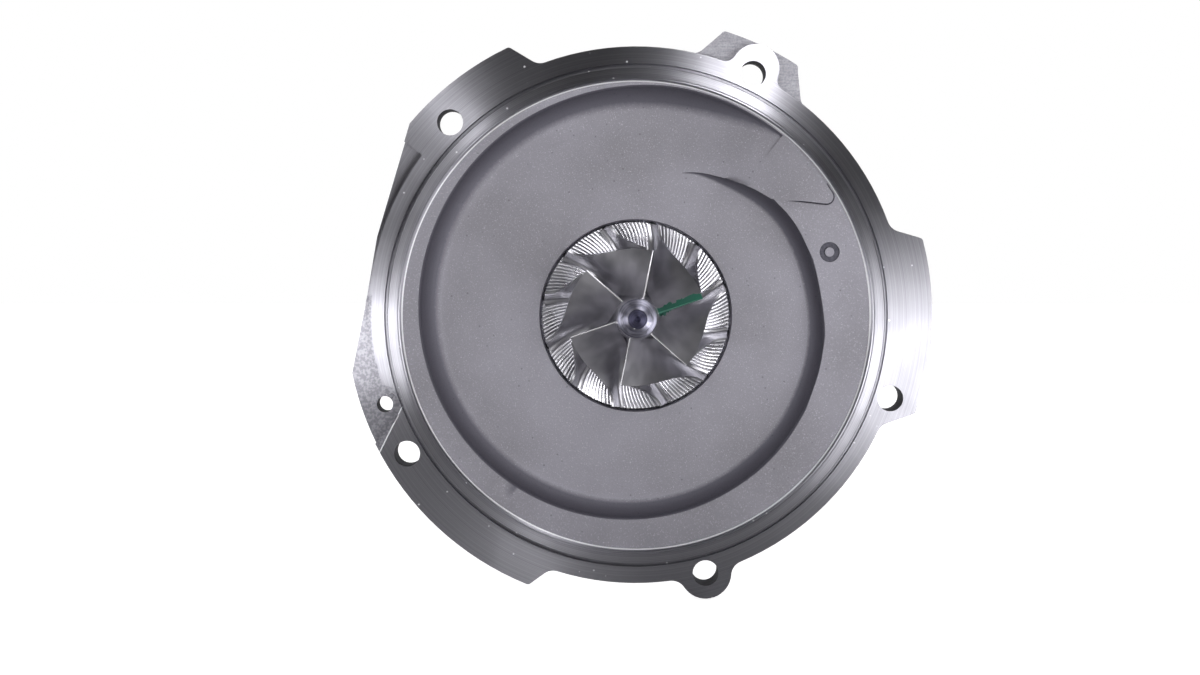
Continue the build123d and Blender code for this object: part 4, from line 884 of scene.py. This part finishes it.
def mattePaper():    # plain pale paper: matte, and white to the camera and where the metal mirrors it
    material, tree, place = startMaterial("mattePaper")
    grain = addNode(tree, "ShaderNodeTexNoise", {
        "Vector": place, "Scale": 1000 / studio["grain"], "Detail": 2.0})
    bump = addNode(tree, "ShaderNodeBump", {
        "Strength": studio["relief"], "Distance": studio["reliefDepth"] * mm, "Height": grain})
    depth = addNode(tree, "ShaderNodeSeparateXYZ", {0: place}).outputs["Y"]
    behind = addNode(tree, "ShaderNodeMapRange", {0: depth, 1: 0.0, 2: studio["glowFade"] * mm})
    seen = addNode(tree, "ShaderNodeLightPath").outputs
    mirrored = addNode(tree, "ShaderNodeMath", {0: seen["Is Glossy Ray"], 1: behind}, operation="MULTIPLY")
    shown = addNode(tree, "ShaderNodeMath", {0: seen["Is Camera Ray"], 1: mirrored}, operation="MAXIMUM")
    glow = addNode(tree, "ShaderNodeMath", {0: shown, 1: studio["floorGlow"]}, operation="MULTIPLY")
    return endMaterial(material, tree, addNode(tree, "ShaderNodeBsdfPrincipled", {
        "Base Color": linearColour(studio["floorColour"]), "Roughness": studio["floorRoughness"],
        "IOR": studio["floorIor"], "Normal": bump,
        "Emission Color": (1, 1, 1, 1), "Emission Strength": glow}))


def makeFloor():
    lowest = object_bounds()[0].z - studio["floorDrop"] * mm
    half, front = studio["floorSize"] / 2 * mm, studio["floorFront"] * mm
    corners = [(-half, front, lowest), (half, front, lowest), (half, half, lowest), (-half, half, lowest)]
    mesh = bpy.data.meshes.new("floor")
    mesh.from_pydata(corners, [], [(0, 1, 2, 3)])
    mesh.materials.append(mattePaper())
    linkObject("floor", mesh)


def makeBackdrop():    # white to the camera and behind the object, plain grey in front of it for reflections
    world = bpy.data.worlds.new("studio")
    scene.world = world
    world.use_nodes = True
    tree = world.node_tree
    tree.nodes.clear()
    direction = addNode(tree, "ShaderNodeTexCoord").outputs["Generated"]
    ahead = addNode(tree, "ShaderNodeSeparateXYZ", {0: direction}).outputs["Y"]
    level = addNode(tree, "ShaderNodeMapRange", {
        0: ahead, 1: 0.0, 2: studio["backFade"], 3: studio["frontGrey"], 4: studio["backWhite"]})
    seen = addNode(tree, "ShaderNodeLightPath").outputs["Is Camera Ray"]
    strength = addNode(tree, "ShaderNodeMath", {0: level, 1: seen}, operation="MAXIMUM")
    sky = addNode(tree, "ShaderNodeBackground", {"Color": (1, 1, 1, 1), "Strength": strength})
    addNode(tree, "ShaderNodeOutputWorld", {"Surface": sky})


def standAt(name, data, place, right, up, back):    # a lamp or a camera looks against its back direction
    holder = linkObject(name, data)
    holder.matrix_world = Matrix.Translation(place) @ Matrix((right, up, back)).transposed().to_4x4()
    return holder


def addSoftbox(name, around, away, distance, width, length, watts):
    lamp = bpy.data.lights.new(name, "AREA")
    lamp.shape = "RECTANGLE"
    lamp.size = width * mm
    lamp.size_y = length * mm
    lamp.energy = watts
    turn, tilt = math.radians(around), math.radians(away)
    outward = Vector((math.sin(tilt) * math.cos(turn), -math.cos(tilt), math.sin(tilt) * math.sin(turn)))
    lengthwise = Vector((math.cos(tilt) * math.cos(turn), math.sin(tilt), math.cos(tilt) * math.sin(turn)))
    holder = standAt(name, lamp, outward * distance * mm, lengthwise.cross(outward), lengthwise, outward)
    holder.visible_camera = False


makeFloor()
makeBackdrop()
for name, box in softboxes.items():
    addSoftbox(name, *box)

photo = {
    "mmPerPixel": 0.27, "width": 1200, "height": 675,    # at the joint face
    "ringCentre": (636.0, 316.3),                        # pixel where the shaft's axis meets the joint face
    "distance": 530.0, "tilt": 2.5,                      # the camera looks down on the shaft by this much
    "sensor": 36.0, "clip": (10, 50000),
}


def makeCamera():
    camera = bpy.data.cameras.new("camera")
    camera.sensor_width = photo["sensor"]
    camera.lens = photo["sensor"] * photo["distance"] / (photo["width"] * photo["mmPerPixel"])
    camera.clip_start, camera.clip_end = [limit * mm for limit in photo["clip"]]
    tilt = math.radians(photo["tilt"])
    right = Vector((1, 0, 0))
    up = Vector((0, math.sin(tilt), math.cos(tilt)))
    back = Vector((0, -math.cos(tilt), math.sin(tilt)))
    column, row = photo["ringCentre"]
    across = (column - photo["width"] / 2) * photo["mmPerPixel"] * mm
    above = (photo["height"] / 2 - row) * photo["mmPerPixel"] * mm
    place = back * photo["distance"] * mm - right * across - up * above
    scene.camera = standAt("camera", camera, place, right, up, back)


makeCamera()
scene.view_settings.view_transform = "Standard"
print("studio set")
